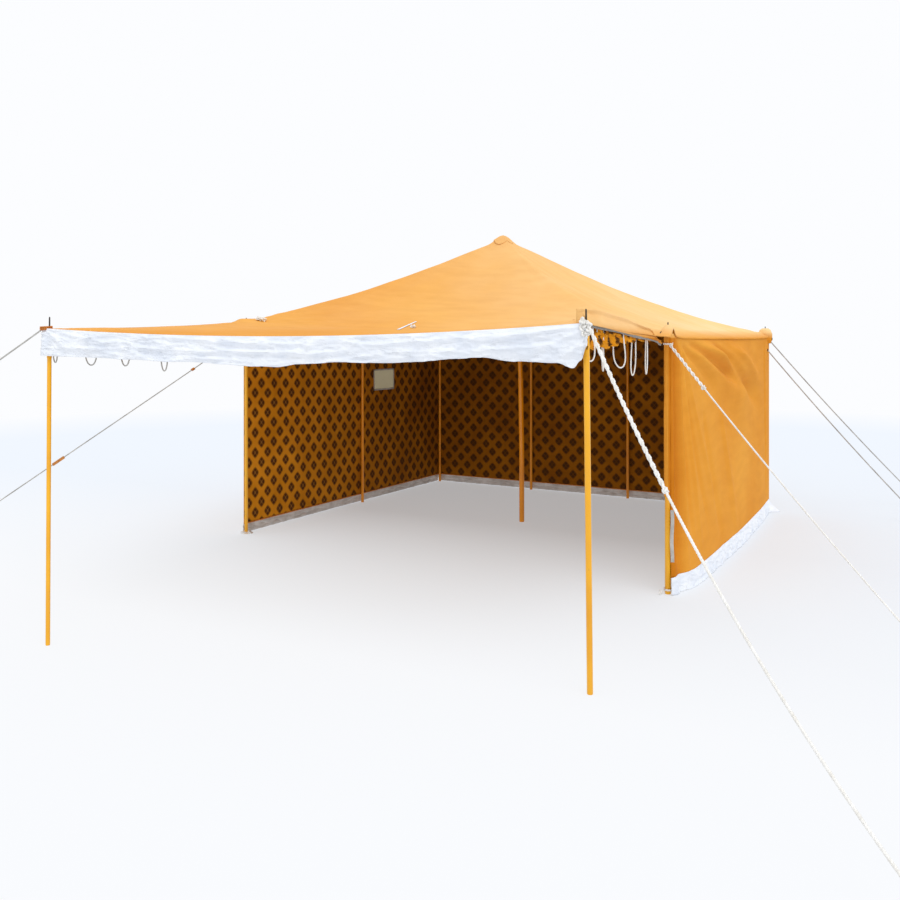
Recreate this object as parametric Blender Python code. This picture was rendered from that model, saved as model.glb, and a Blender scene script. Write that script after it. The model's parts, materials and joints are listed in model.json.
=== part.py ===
# A square canvas tent with a pyramid roof, whose front wall is lifted forward on two poles as an awning.
# Metres, +Z up, +X along the front to the right, +Y towards the back.
# The origin is on the ground at the middle of the square of corner poles, at the centre pole's foot.
import math

import bmesh
import bpy
from mathutils import Vector
from mathutils.bvhtree import BVHTree

# Driving dimensions
GAP = 0.0003
WIDTH = 4.00
DEPTH = 3.58
APEX = Vector((-0.163, -0.093, 2.845))
CORNER_HEIGHT = {"front_left": 2.015, "front_right": 1.93, "back_right": 1.93, "back_left": 1.95}
CORNER_PEAK = {"front_left": 0.03, "front_right": 0.085, "back_right": 0.09, "back_left": 0.09}
PEAK_REACH = 0.06
EAVE_SAG = {"front": 0.012, "right": 0.01, "back": 0.012, "left": 0.01}
HIP_SAG = {"front_left": 0.30, "front_right": 0.62, "back_right": 0.42, "back_left": 0.42}
SLOPE_SAG = {"front": 0.58, "right": 0.56, "back": 0.50, "left": 0.45}
CANVAS = 0.006
EAVE_OVERHANG = 0.040
CAP_THICKNESS = 0.010
CAP_CROWN = 0.008

AWNING_LEFT_FOOT = Vector((-0.904, -4.702, 0))
AWNING_LEFT_TOP = Vector((-1.130, -4.524, 1.895))
AWNING_RIGHT_FOOT = Vector((2.178, -3.796, 0))
AWNING_RIGHT_TOP = Vector((2.161, -3.806, 1.912))
AWNING_SAG = {"front": 0.060, "left": 0.015, "right": 0.010}
AWNING_SIDE_OVERHANG = 0.015
AWNING_FRONT_OVERHANG = 0.040
# The awning stands up in a roll just inside its right edge: its height at the outer pole, what it loses
# towards the roof, the shares of the awning's width from where it begins to its crest and the edge, and the
# shares of its length over which it fades out at the outer pole and at the roof
ROLL_HEIGHT = 0.088
ROLL_LOSS = 0.045
ROLL_ACROSS = (0.45, 0.935, 0.99)
ROLL_FADES = (0.08, 0.25)
VALANCE_HEIGHT = 0.165
VALANCE_END_DROOP = 0.055
VALANCE_INSET = 0.006
VALANCE_FLARE = 0.015
VALANCE_DROOP_POWER = 12
VALANCE_CLEARANCE = 0.0024

WALL = 0.008
WALL_OFFSET = 0.028
SKIRT_HEIGHT = 0.120
SKIRT_FLARE = 0.020
RIGHT_WALL_BULGE = 0.085
BULGE_DROP_POWER = 1.3
BULGE_SHARE_POWER = 3
VENT_Y = (0.350, 0.756)
VENT_Z = (1.240, 1.467)
VENT_CUT = 0.05

CENTRE_POLE_RADIUS = 0.025
CENTRE_UPPER_RADIUS = 0.0225
CENTRE_JOINT_HEIGHT = 1.43
POLE_RADIUS = 0.016
FRONT_RIGHT_POLE_RADIUS = 0.022
AWNING_LEFT_POLE_RADIUS = 0.013
# The centre pole's upper tube bows towards the apex: how sharply, and the rings that carry the curve
CENTRE_BOW_POWER = 4
CENTRE_BOW_RINGS = 8
SPIKE_RADIUS = 0.005
SPIKE_LENGTH = {
    "front_left": 0.035,
    "front_right": 0.040,
    "back_right": 0.030,
    "back_left": 0.030,
    "awning_left": 0.080,
    "awning_right": 0.080,
}
SPIKE_TAPER = 0.7
SPIKE_CLEARANCE = 0.0015
LEFT_MIDDLE_Y = 0.086
BACK_INNER_X = {"left": -0.72, "right": 0.49}

ROPE_RADIUS = 0.0045
HEAVY_ROPE_RADIUS = 0.007
ROPE_STEPS = 12
PEG_RADIUS = 0.009
PEG_HEAD_RADIUS = 0.015
PEG_LENGTH = 0.17
PEG_ROPE_HEIGHT = 0.060
PEG_BELOW = 0.05
PEG_HEAD = 0.010

# Each guy's peg on the ground, and how far the rope hangs below a straight line at its middle
PEGS = {
    "awning_left": (Vector((-2.62, -6.60, 0)), 0.05),
    "awning_right": (Vector((3.77, -5.09, 0)), 0.17),
    "front_left": (Vector((-3.53, -3.91, 0)), 0.0),
    "front_right": (Vector((3.84, -3.05, 0)), 0.04),
    "back_right_upper": (Vector((3.35, 2.94, 0)), 0.03),
    "back_right_lower": (Vector((3.37, 1.89, 0)), 0.03),
    "back_left_upper": (Vector((-3.35, 2.94, 0)), 0.03),
    "back_left_lower": (Vector((-3.37, 1.89, 0)), 0.03),
}
FRONT_GUY_HEIGHT = {"front_left": 1.88, "front_right": 1.806}
BACK_GUY_HEIGHT = {"upper": 1.822, "lower": 1.706}
BACK_GUY_INSET = {"upper": 0.0, "lower": 0.05}
SLIDER_SIZE = (0.11, 0.030, 0.022)
SLIDER_PLACE = 0.607

# The loops of rope that hang from the canvas inside the awning's right edge. Each has its place along the
# edge from the outer corner, as a share, its depth, its width, the angle its plane is turned to, and its
# foot's swing.
LOOP_RADIUS = 0.0045
LOOP_INSET = 0.035
AWNING_LOOPS = (
    (0.055, 0.200, 0.055, 45, 0.010),
    (0.130, 0.125, 0.040, 120, 0.010),
    (0.190, 0.240, 0.045, 118, -0.012),
    (0.350, 0.215, 0.060, 48, 0.012),
    (0.520, 0.255, 0.045, 80, -0.015),
    (0.680, 0.250, 0.045, 120, 0.010),
)
# One loop from end to end, in its own width and depth
LOOP_ROUTE = (
    (0.00, 0.00),
    (-0.01, 0.12),
    (-0.06, 0.28),
    (-0.12, 0.45),
    (-0.15, 0.62),
    (-0.10, 0.79),
    (0.08, 0.92),
    (0.30, 0.985),
    (0.50, 1.00),
    (0.70, 0.985),
    (0.92, 0.92),
    (1.10, 0.79),
    (1.15, 0.62),
    (1.12, 0.45),
    (1.06, 0.28),
    (1.01, 0.12),
    (1.00, 0.00),
)
LOOP_STEPS = 28

# Stations along each side, as shares of its length, and rows from the apex out, as shares of the slope
STATIONS = (0.0, 0.025, 0.08, 0.2, 0.35, 0.5, 0.65, 0.8, 0.92, 0.975)
ROOF_ROWS = (0.03, 0.06, 0.15, 0.28, 0.42, 0.56, 0.70, 0.83, 0.95, 1.0)
CAP_ROWS = 2
AWNING_ROWS = (0.0, 0.035, 0.12, 0.25, 0.40, 0.55, 0.70, 0.85, 0.965, 1.0)
WALL_ROWS = (0.0, 0.15, 0.35, 0.6, 0.8, 1.0)

CORNER = {
    "front_left": Vector((-WIDTH / 2, -DEPTH / 2, 0)),
    "front_right": Vector((WIDTH / 2, -DEPTH / 2, 0)),
    "back_right": Vector((WIDTH / 2, DEPTH / 2, 0)),
    "back_left": Vector((-WIDTH / 2, DEPTH / 2, 0)),
}
SIDES = {
    "front": ("front_left", "front_right"),
    "right": ("front_right", "back_right"),
    "back": ("back_right", "back_left"),
    "left": ("back_left", "front_left"),
}


def clear_scene():
    for thing in list(bpy.data.objects):
        bpy.data.objects.remove(thing, do_unlink=True)


def make_material(name, colour, roughness, metallic=0.0):
    material = bpy.data.materials.new(name)
    material.use_nodes = True
    shader = material.node_tree.nodes["Principled BSDF"]
    shader.inputs["Base Color"].default_value = (*colour, 1)
    shader.inputs["Roughness"].default_value = roughness
    shader.inputs["Metallic"].default_value = metallic
    return material


def new_object(name, data, material):
    thing = bpy.data.objects.new(name, data)
    bpy.context.scene.collection.objects.link(thing)
    data.materials.append(material)
    return thing


def object_from_bmesh(name, shape, material, smooth=False):
    bmesh.ops.recalc_face_normals(shape, faces=shape.faces)
    mesh = bpy.data.meshes.new(name)
    shape.to_mesh(mesh)
    shape.free()
    if smooth:
        mesh.shade_smooth()
        mesh.set_sharp_from_angle(angle=math.radians(40))
    return new_object(name, mesh, material)


def join_grids(name, near, far, material, closed=False, tips=None):
    """One solid between two grids of points: the faces of both, and the rim that joins them.

    A closed grid runs right round, and tips are the two points that its first rows close to."""
    shape = bmesh.new()
    grids = [[[shape.verts.new(p) for p in row] for row in grid] for grid in (near, far)]
    count = len(near[0])
    last = count if closed else count - 1
    for grid in grids:
        for low, high in zip(grid, grid[1:]):
            for k in range(last):
                n = (k + 1) % count
                shape.faces.new((low[k], low[n], high[n], high[k]))
    rims = [(grids[0][-1], grids[1][-1])]
    if tips is None:
        rims.append((grids[0][0], grids[1][0]))
    for one, other in rims:
        for k in range(last):
            n = (k + 1) % count
            shape.faces.new((one[k], one[n], other[n], other[k]))
    if not closed:
        for k in (0, count - 1):
            for row in range(len(near) - 1):
                a, b = grids[0][row][k], grids[0][row + 1][k]
                c, d = grids[1][row + 1][k], grids[1][row][k]
                shape.faces.new((a, b, c, d))
    if tips is not None:
        for grid, tip in zip(grids, tips):
            point = shape.verts.new(tip)
            for k in range(last):
                shape.faces.new((point, grid[0][k], grid[0][(k + 1) % count]))
    bmesh.ops.triangulate(shape, faces=shape.faces)
    return object_from_bmesh(name, shape, material, smooth=True)


def cut(thing, cutter):
    """Take the cutter's shape out of the thing, and hide the cutter."""
    cutter.hide_render = True
    cutter.display_type = "WIRE"
    modifier = thing.modifiers.new("cut " + cutter.name, "BOOLEAN")
    modifier.operation = "DIFFERENCE"
    modifier.solver = "EXACT"
    modifier.object = cutter


def lathe(name, rings, material, sides=16):
    """A round solid from level rings, each (centre, radius), from the lowest up."""
    shape = bmesh.new()
    loops = []
    for centre, radius in rings:
        turn = [math.tau * k / sides for k in range(sides)]
        loops.append([shape.verts.new(centre + Vector((math.cos(a), math.sin(a), 0)) * radius) for a in turn])
    for low, high in zip(loops, loops[1:]):
        for k in range(sides):
            n = (k + 1) % sides
            shape.faces.new((low[k], low[n], high[n], high[k]))
    shape.faces.new(loops[0])
    shape.faces.new(loops[-1])
    return object_from_bmesh(name, shape, material, smooth=True)


def sagged(start, end, sag, share):
    """The height along an edge that sags between its ends."""
    return start + (end - start) * share - 4 * sag * share * (1 - share)


# The roof's edge: its height along a side drops quickly from the peak at each pole, then sags
def edge_height(start, end, peaks, sag, length, share):
    height = sagged(start - peaks[0], end - peaks[1], sag, share)
    height += peaks[0] * math.exp(-share * length / PEAK_REACH)
    height += peaks[1] * math.exp(-(1 - share) * length / PEAK_REACH)
    return height


def outer_corner(name):
    """The canvas corner, outside the pole. The front edge has no overhang: the awning goes on there."""
    place = CORNER[name].copy()
    place.x += math.copysign(EAVE_OVERHANG, place.x)
    if name.startswith("back"):
        place.y += EAVE_OVERHANG
    return place


def roof_edge(side):
    """The points along the roof's edge on one side, with the next side's corner left out."""
    first, second = SIDES[side]
    start, end = outer_corner(first), outer_corner(second)
    peaks = (CORNER_PEAK[first], CORNER_PEAK[second])
    heights = (CORNER_HEIGHT[first], CORNER_HEIGHT[second])
    points = []
    for share in STATIONS:
        place = start.lerp(end, share)
        if share <= STATIONS[1]:
            place.z = heights[0]
        elif share >= STATIONS[-1]:
            place.z = heights[1]
        else:
            place.z = edge_height(*heights, peaks, EAVE_SAG[side], (end - start).length, share)
        points.append(place)
    return points


def slope_sag(side, share):
    first, second = SIDES[side]
    hips = HIP_SAG[first] + (HIP_SAG[second] - HIP_SAG[first]) * share
    middle = SLOPE_SAG[side] - (HIP_SAG[first] + HIP_SAG[second]) / 2
    return hips + middle * 4 * share * (1 - share)


def roof_rows():
    """The roof's top surface, row by row from the apex out, each row right round the four sides."""
    rows = []
    for reach in ROOF_ROWS:
        row = []
        for side in SIDES:
            for share, edge in zip(STATIONS, roof_edge(side)):
                place = APEX.lerp(edge, reach)
                place.z -= slope_sag(side, share) * reach * (1 - reach)
                near_pole = share <= STATIONS[1] or share >= STATIONS[-1]
                if reach >= ROOF_ROWS[-2] and near_pole:
                    place.z = edge.z
                if reach == ROOF_ROWS[0]:
                    place.z = APEX.z
                row.append(place)
        rows.append(row)
    return rows


def lowered(rows, amount):
    return [[point - Vector((0, 0, amount)) for point in row] for row in rows]


def spike_hole(name, centre):
    radius = SPIKE_RADIUS + SPIKE_CLEARANCE
    rings = [(centre + Vector((0, 0, z)), radius) for z in (-2 * CANVAS, 3 * CANVAS)]
    return lathe(name, rings, materials["steel"], sides=12)


def make_roof():
    top = roof_rows()
    roof = join_grids(
        "roof_canopy",
        top,
        lowered(top, CANVAS),
        materials["canvas"],
        closed=True,
        tips=(APEX, APEX - Vector((0, 0, CANVAS))),
    )
    cap_low = lowered(top[:CAP_ROWS], -GAP)
    cap_high = lowered(top[:CAP_ROWS], -GAP - CAP_THICKNESS)
    lift = Vector((0, 0, GAP))
    tips = (APEX + lift, APEX + lift + Vector((0, 0, CAP_THICKNESS + CAP_CROWN)))
    join_grids("roof_cap", cap_low, cap_high, materials["canvas"], closed=True, tips=tips)
    return roof


def awning_corner(top, towards_x):
    """The awning's outer corner, past its pole on both sides."""
    along = (AWNING_RIGHT_TOP - AWNING_LEFT_TOP).normalized()
    forward = Vector((along.y, -along.x, 0)).normalized()
    place = top + along * towards_x * AWNING_SIDE_OVERHANG + forward * AWNING_FRONT_OVERHANG
    place.z = top.z
    return place


def eased(amount):
    """0 to 1 with a level start and end."""
    amount = max(0.0, min(1.0, amount))
    return amount * amount * (3 - 2 * amount)


def roll_height(share, reach):
    """How far the roll along the awning's right edge lifts the canvas."""
    outward = 1 - reach
    along = eased(outward / ROLL_FADES[0]) * eased(reach / ROLL_FADES[1])
    begins, crest, ends = ROLL_ACROSS
    across = eased((share - begins) / (crest - begins)) * eased((ends - share) / (ends - crest))
    return (ROLL_HEIGHT - ROLL_LOSS * outward) * along * across


def awning_rows():
    """The awning's top surface from the roof's front edge forward. It is flat round each pole's top."""
    back = [point.copy() for point in roof_edge("front")]
    far = outer_corner("front_right")
    far.z = CORNER_HEIGHT["front_right"]
    back.append(far)
    for point in back:
        point.y -= GAP
    left_front = awning_corner(AWNING_LEFT_TOP, -1)
    right_front = awning_corner(AWNING_RIGHT_TOP, 1)
    shares = (*STATIONS, 1.0)
    front = []
    for share in shares:
        place = left_front.lerp(right_front, share)
        if STATIONS[1] < share < STATIONS[-1]:
            place.z = sagged(left_front.z, right_front.z, AWNING_SAG["front"], share)
        else:
            place.z = left_front.z if share <= STATIONS[1] else right_front.z
        front.append(place)
    eaves = [CORNER_HEIGHT[name] - CORNER_PEAK[name] for name in SIDES["front"]]
    rows = []
    for reach in AWNING_ROWS:
        row = []
        for k, share in enumerate(shares):
            place = back[k].lerp(front[k], reach)
            if reach <= AWNING_ROWS[1]:
                place.z = back[k].z
            elif reach >= AWNING_ROWS[-2]:
                place.z = front[k].z
            else:
                eave = sagged(*eaves, EAVE_SAG["front"], share)
                edge = sagged(left_front.z, right_front.z, AWNING_SAG["front"], share)
                sag = AWNING_SAG["left"] * (1 - share) + AWNING_SAG["right"] * share
                place.z = sagged(eave, edge, sag, reach) + roll_height(share, reach)
            row.append(place)
        rows.append(row)
    return rows


def make_awning():
    top = awning_rows()
    return join_grids("awning_sheet", top, lowered(top, CANVAS), materials["canvas"]), top


def make_valance(front_edge):
    """The strip that hangs from the awning's front edge, deeper at its right end."""
    start, end = front_edge[0], front_edge[-1]
    along = (end - start).normalized()
    inward = Vector((-along.y, along.x, 0)).normalized()
    outer, inner = [], []
    shares = (*STATIONS, 1.0)
    for drop in (0.0, 0.5, 1.0):
        rows = ([], [])
        for share, edge in zip(shares, front_edge):
            seat = GAP if share <= STATIONS[1] or share >= STATIONS[-1] else VALANCE_CLEARANCE
            height = VALANCE_HEIGHT + VALANCE_END_DROOP * share**VALANCE_DROOP_POWER
            for row, depth in zip(rows, (VALANCE_INSET / 2, VALANCE_INSET * 3 / 2)):
                place = edge + inward * (depth - drop * VALANCE_FLARE)
                place.z = edge.z - CANVAS - seat - drop * height
                row.append(place)
        outer.append(rows[0])
        inner.append(rows[1])
    return join_grids("awning_valance", outer, inner, materials["cotton"])


def wall_bulge(side, share, drop):
    """How far a wall stands out past its top edge. The right wall's foot is pulled out at the front."""
    if side == "right":
        return RIGHT_WALL_BULGE * drop**BULGE_DROP_POWER * (1 - share**BULGE_SHARE_POWER)
    return 0.0


def make_wall(side):
    """A wall from the roof's edge down to the skirt, and the skirt from there to the ground."""
    edge = roof_edge(side)
    last = outer_corner(SIDES[side][1])
    last.z = CORNER_HEIGHT[SIDES[side][1]]
    edge = [*edge, last]
    outward = {"right": Vector((1, 0, 0)), "back": Vector((0, 1, 0)), "left": Vector((-1, 0, 0))}[side]
    line = (DEPTH if side == "back" else WIDTH) / 2 + WALL_OFFSET
    inner_face = WIDTH / 2 + WALL_OFFSET - WALL / 2 - GAP
    shares = [*STATIONS, 1.0]
    wall_grids, skirt_grids = ([], []), ([], [])
    for drop in WALL_ROWS:
        rows = ([], [])
        for share, point in zip(shares, edge):
            top = point.z - CANVAS - GAP
            bottom = SKIRT_HEIGHT + GAP
            spot = wall_spot(side, point, share, drop, outward, line, inner_face)
            for row, way in zip(rows, (0.5, -0.5)):
                place = spot + outward * WALL * way
                place.z = top + (bottom - top) * drop
                row.append(place)
        wall_grids[0].append(rows[0])
        wall_grids[1].append(rows[1])
    for drop in (0.0, 1.0):
        rows = ([], [])
        for share, point in zip(shares, edge):
            spot = wall_spot(side, point, share, 1.0, outward, line, inner_face)
            flare = SKIRT_FLARE * drop * (4 * share * (1 - share))
            for row, way in zip(rows, (0.5, -0.5)):
                place = spot + outward * (WALL * way + flare)
                place.z = SKIRT_HEIGHT * (1 - drop)
                row.append(place)
        skirt_grids[0].append(rows[0])
        skirt_grids[1].append(rows[1])
    wall = join_grids(side + "_wall", *wall_grids, materials["canvas"])
    join_grids(side + "_skirt", *skirt_grids, materials["cotton"])
    return wall


def wall_spot(side, point, share, drop, outward, line, inner_face):
    """Where the middle of a wall stands on the plan."""
    if side == "back":
        spot = Vector((max(-inner_face, min(inner_face, point.x)), line, 0))
    else:
        spot = Vector((outward.x * line, max(point.y, -DEPTH / 2 + GAP), 0))
    return spot + outward * wall_bulge(side, share, drop)


def box(name, low, high, material):
    shape = bmesh.new()
    bmesh.ops.create_cube(shape, size=1)
    size = high - low
    for vertex in shape.verts:
        vertex.co = low + Vector([(c + 0.5) * s for c, s in zip(vertex.co, size)])
    return object_from_bmesh(name, shape, material)


def make_vent(wall):
    """A ventilation window near the back of the left wall: an opening with a mesh panel in it."""
    middle = -(WIDTH / 2 + WALL_OFFSET)
    hole = box(
        "vent_cutter",
        Vector((middle - VENT_CUT, VENT_Y[0], VENT_Z[0])),
        Vector((middle + VENT_CUT, VENT_Y[1], VENT_Z[1])),
        materials["mesh"],
    )
    cut(wall, hole)
    low = Vector((middle - WALL / 2, VENT_Y[0] + GAP, VENT_Z[0] + GAP))
    high = Vector((middle + WALL / 2, VENT_Y[1] - GAP, VENT_Z[1] - GAP))
    box("left_vent_window", low, high, materials["mesh"])


def under_canvas(tree, place, radius, clearance=GAP):
    """The height just below the canvas over the whole top of a pole or rope."""
    rays = 24
    hits = []
    for k in range(rays):
        turn = math.tau * k / rays
        start = Vector((place.x + radius * math.cos(turn), place.y + radius * math.sin(turn), 0))
        hits.append(tree.ray_cast(start, Vector((0, 0, 1)))[0].z)
    return min(hits) - clearance


def make_pole(name, foot, top, radius=POLE_RADIUS, spike=0.0):
    """A steel tube with a pin on its top, which goes through the canvas. Its two ends are level."""
    rings = [(foot, radius), (top, radius)]
    if spike:
        tip = top + (top - foot).normalized() * spike
        rings += [(top, SPIKE_RADIUS), (tip, SPIKE_RADIUS * SPIKE_TAPER)]
    return lathe(name, rings, materials["pole"])


def make_poles(roof, awning):
    below = CANVAS + GAP
    for name in CORNER:
        foot = CORNER[name]
        top = foot + Vector((0, 0, CORNER_HEIGHT[name] - below))
        radius = FRONT_RIGHT_POLE_RADIUS if name == "front_right" else POLE_RADIUS
        make_pole(name + "_pole", foot, top, radius, SPIKE_LENGTH[name])
        hole = spike_hole(name + "_hole", top)
        cut(roof, hole)
        if name.startswith("front"):
            cut(awning, hole)
    ends = {
        "left": (AWNING_LEFT_FOOT, AWNING_LEFT_TOP, AWNING_LEFT_POLE_RADIUS),
        "right": (AWNING_RIGHT_FOOT, AWNING_RIGHT_TOP, POLE_RADIUS),
    }
    for side, (foot, top, radius) in ends.items():
        shoulder = top - Vector((0, 0, below))
        make_pole("awning_" + side + "_pole", foot, shoulder, radius, SPIKE_LENGTH["awning_" + side])
        cut(awning, spike_hole("awning_" + side + "_hole", shoulder))
    make_centre_pole(roof)
    make_wall_poles(roof)


def bowed(top, height):
    """Where the middle of the centre pole is at a height, between its upright foot and its leaning top."""
    lean = (height / top.z) ** CENTRE_BOW_POWER
    return Vector((top.x * lean, top.y * lean, height))


def make_centre_pole(roof):
    """Two tubes, one in the other, bowed under the roof's pull, with a short pin that stays under the cap."""
    top = APEX - Vector((0, 0, CANVAS + GAP))
    rings = [(Vector((0, 0, 0)), CENTRE_POLE_RADIUS)]
    joint = bowed(top, CENTRE_JOINT_HEIGHT)
    rings += [(joint, CENTRE_POLE_RADIUS), (joint, CENTRE_UPPER_RADIUS)]
    for k in range(1, CENTRE_BOW_RINGS + 1):
        height = CENTRE_JOINT_HEIGHT + (top.z - CENTRE_JOINT_HEIGHT) * k / CENTRE_BOW_RINGS
        rings.append((bowed(top, height), CENTRE_UPPER_RADIUS))
    rings += [(top, SPIKE_RADIUS), (top + Vector((0, 0, CANVAS)), SPIKE_RADIUS)]
    lathe("centre_pole", rings, materials["pole"])
    cut(roof, spike_hole("centre_hole", top))


def make_wall_poles(roof):
    tree = BVHTree.FromObject(roof, bpy.context.evaluated_depsgraph_get())
    feet = {
        "left_middle_pole": Vector((-WIDTH / 2, LEFT_MIDDLE_Y, 0)),
        "right_middle_pole": Vector((WIDTH / 2, LEFT_MIDDLE_Y, 0)),
        "back_inner_left_pole": Vector((BACK_INNER_X["left"], DEPTH / 2, 0)),
        "back_inner_right_pole": Vector((BACK_INNER_X["right"], DEPTH / 2, 0)),
    }
    for name, foot in feet.items():
        top = foot.copy()
        top.z = under_canvas(tree, foot, POLE_RADIUS, 3 * GAP)
        make_pole(name, foot, top)


def rope_line(start, end, sag):
    """The points down the middle of a rope between two places, with a shallow sag."""
    points = []
    for k in range(ROPE_STEPS + 1):
        share = k / ROPE_STEPS
        place = start.lerp(end, share)
        place.z -= 4 * sag * share * (1 - share)
        points.append(place)
    return points


def rope_end(start, peg, sag):
    """Where a rope stops at its peg, and how the peg leans, square to the rope."""
    out = Vector((peg.x - start.x, peg.y - start.y, 0)).normalized()
    lean = Vector((0, 0, 1))
    end = peg
    for _ in range(3):
        line = rope_line(start, end, sag)
        along = (line[-1] - line[-2]).normalized()
        lean = out * -along.z + Vector((0, 0, 1)) * out.dot(along)
        tied = peg + lean * (PEG_ROPE_HEIGHT / lean.z)
        end = tied - along * (PEG_RADIUS + GAP)
    return end, lean


def make_rope(name, places, radius):
    """A rope as a tube along the places."""
    curve = bpy.data.curves.new(name, "CURVE")
    curve.dimensions = "3D"
    curve.bevel_depth = radius
    curve.bevel_resolution = 2
    curve.use_fill_caps = True
    spline = curve.splines.new("POLY")
    spline.points.add(len(places) - 1)
    for point, place in zip(spline.points, places):
        point.co = (*place, 1)
    return new_object(name, curve, materials["rope"])


def make_peg(name, base, lean):
    """A steel peg with a round head, cut off level with the ground."""
    shape = bmesh.new()
    sides = 12
    across = lean.cross(Vector((0, 0, 1))).normalized()
    up = lean.cross(across)
    rings = [(-PEG_BELOW, PEG_RADIUS), (PEG_LENGTH, PEG_RADIUS), (PEG_LENGTH, PEG_HEAD_RADIUS)]
    rings.append((PEG_LENGTH + PEG_HEAD, PEG_HEAD_RADIUS))
    loops = []
    for height, radius in rings:
        centre = base + lean * height
        loop = []
        for k in range(sides):
            turn = math.tau * k / sides
            loop.append(shape.verts.new(centre + (across * math.cos(turn) + up * math.sin(turn)) * radius))
        loops.append(loop)
    for low, high in zip(loops, loops[1:]):
        for k in range(sides):
            n = (k + 1) % sides
            shape.faces.new((low[k], low[n], high[n], high[k]))
    shape.faces.new(loops[0])
    shape.faces.new(loops[-1])
    everything = shape.verts[:] + shape.edges[:] + shape.faces[:]
    level = bmesh.ops.bisect_plane(shape, geom=everything, plane_no=(0, 0, 1), clear_inner=True)
    rim = [part for part in level["geom_cut"] if isinstance(part, bmesh.types.BMEdge)]
    bmesh.ops.edgeloop_fill(shape, edges=rim)
    return object_from_bmesh(name, shape, materials["steel"], smooth=True)


def rope_starts():
    """Where each guy leaves the tent: under an awning corner, at a front pole, or at a side wall's corner."""
    down = Vector((0, 0, -CANVAS))
    starts = {
        "awning_left": awning_corner(AWNING_LEFT_TOP, -1) + down,
        "awning_right": awning_corner(AWNING_RIGHT_TOP, 1) + down,
    }
    for name, height in FRONT_GUY_HEIGHT.items():
        starts[name] = CORNER[name] + Vector((0, 0, height))
    for side, way in (("left", -1), ("right", 1)):
        face = WIDTH / 2 + WALL_OFFSET + WALL / 2 + (2 * GAP if side == "right" else 0)
        for level, height in BACK_GUY_HEIGHT.items():
            inset = DEPTH / 2 - BACK_GUY_INSET[level]
            starts[f"back_{side}_{level}"] = Vector((way * face, inset, height))
    return starts


def clear_start(name, start, along, radius):
    """The rope's first point, so that its square end just clears what it is tied to."""
    flat = math.hypot(along.x, along.y)
    if name.startswith("back"):
        facing = abs(along.x)
        return start + along * ((radius * math.sqrt(1 - facing**2) + GAP) / facing)
    if name in CORNER:
        pole = FRONT_RIGHT_POLE_RADIUS if name == "front_right" else POLE_RADIUS
        return start + along * ((pole + radius * -along.z + GAP) / flat)
    upward = Vector((along.x * -along.z / flat, along.y * -along.z / flat, flat))
    return start + along * GAP + upward * radius / 2


def make_guys():
    for name, start in rope_starts().items():
        peg, sag = PEGS[name]
        radius = HEAVY_ROPE_RADIUS if name == "awning_right" else ROPE_RADIUS
        end, lean = rope_end(start, peg, sag)
        line = rope_line(start, end, sag)
        first = clear_start(name, start, (line[1] - line[0]).normalized(), radius)
        make_rope(name + "_guy", rope_line(first, end, sag), radius)
        make_peg(name + "_peg", peg, lean)
        if name == "front_left":
            make_slider(first, end, radius)


def make_slider(start, end, radius):
    """The wooden slat that tightens the front left guy, with the rope through it."""
    middle = start.lerp(end, SLIDER_PLACE)
    along = (end - start).normalized()
    shape = bmesh.new()
    bmesh.ops.create_cube(shape, size=1)
    for vertex in shape.verts:
        vertex.co = Vector([c * size for c, size in zip(vertex.co, SLIDER_SIZE)])
    slider = object_from_bmesh("front_left_slider", shape, materials["wood"])
    slider.location = middle
    slider.rotation_euler = along.to_track_quat("X", "Z").to_euler()
    sides = 12
    bore = (radius + GAP) / math.cos(math.pi / sides)
    rings = [(Vector((0, 0, z)), bore) for z in (-SLIDER_SIZE[0], SLIDER_SIZE[0])]
    hole = lathe("slider_hole", rings, materials["steel"], sides)
    hole.location = middle
    hole.rotation_euler = along.to_track_quat("Z", "Y").to_euler()
    cut(slider, hole)


def smooth_points(route, steps):
    """Points evenly along a smooth curve that passes through each of the route's own points."""
    points = []
    for k in range(steps + 1):
        place = k / steps * (len(route) - 1)
        n = min(int(place), len(route) - 2)
        t = place - n
        a, b, c, d = (Vector(route[min(max(n + i, 0), len(route) - 1)]) for i in (-1, 0, 1, 2))
        curved = 2 * b + (c - a) * t + (2 * a - 5 * b + 4 * c - d) * t**2 + (3 * b - a - 3 * c + d) * t**3
        points.append(curved / 2)
    return points


def make_loops(awning, rows):
    """The rope loops that hang from the canvas inside the awning's right edge."""
    tree = BVHTree.FromObject(awning, bpy.context.evaluated_depsgraph_get())
    outer, inner = rows[-1][-1], rows[0][-1]
    inward = (rows[-1][0] - outer).normalized() * LOOP_INSET
    for number, (share, depth, width, turn, swing) in enumerate(AWNING_LOOPS, 1):
        middle = outer.lerp(inner, share) + inward
        across = Vector((math.cos(math.radians(turn)), math.sin(math.radians(turn)), 0))
        tops = []
        for way in (-0.5, 0.5):
            top = middle + across * width * way
            tops.append(under_canvas(tree, top, LOOP_RADIUS))
        places = []
        for along, down in smooth_points(LOOP_ROUTE, LOOP_STEPS):
            place = middle + across * (width * (along - 0.5) + swing * down**2)
            level = tops[0] + (tops[1] - tops[0]) * along
            place.z = level - depth * down
            places.append(place)
        make_rope(f"awning_loop_{number}", places, LOOP_RADIUS)


materials = {}


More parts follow.
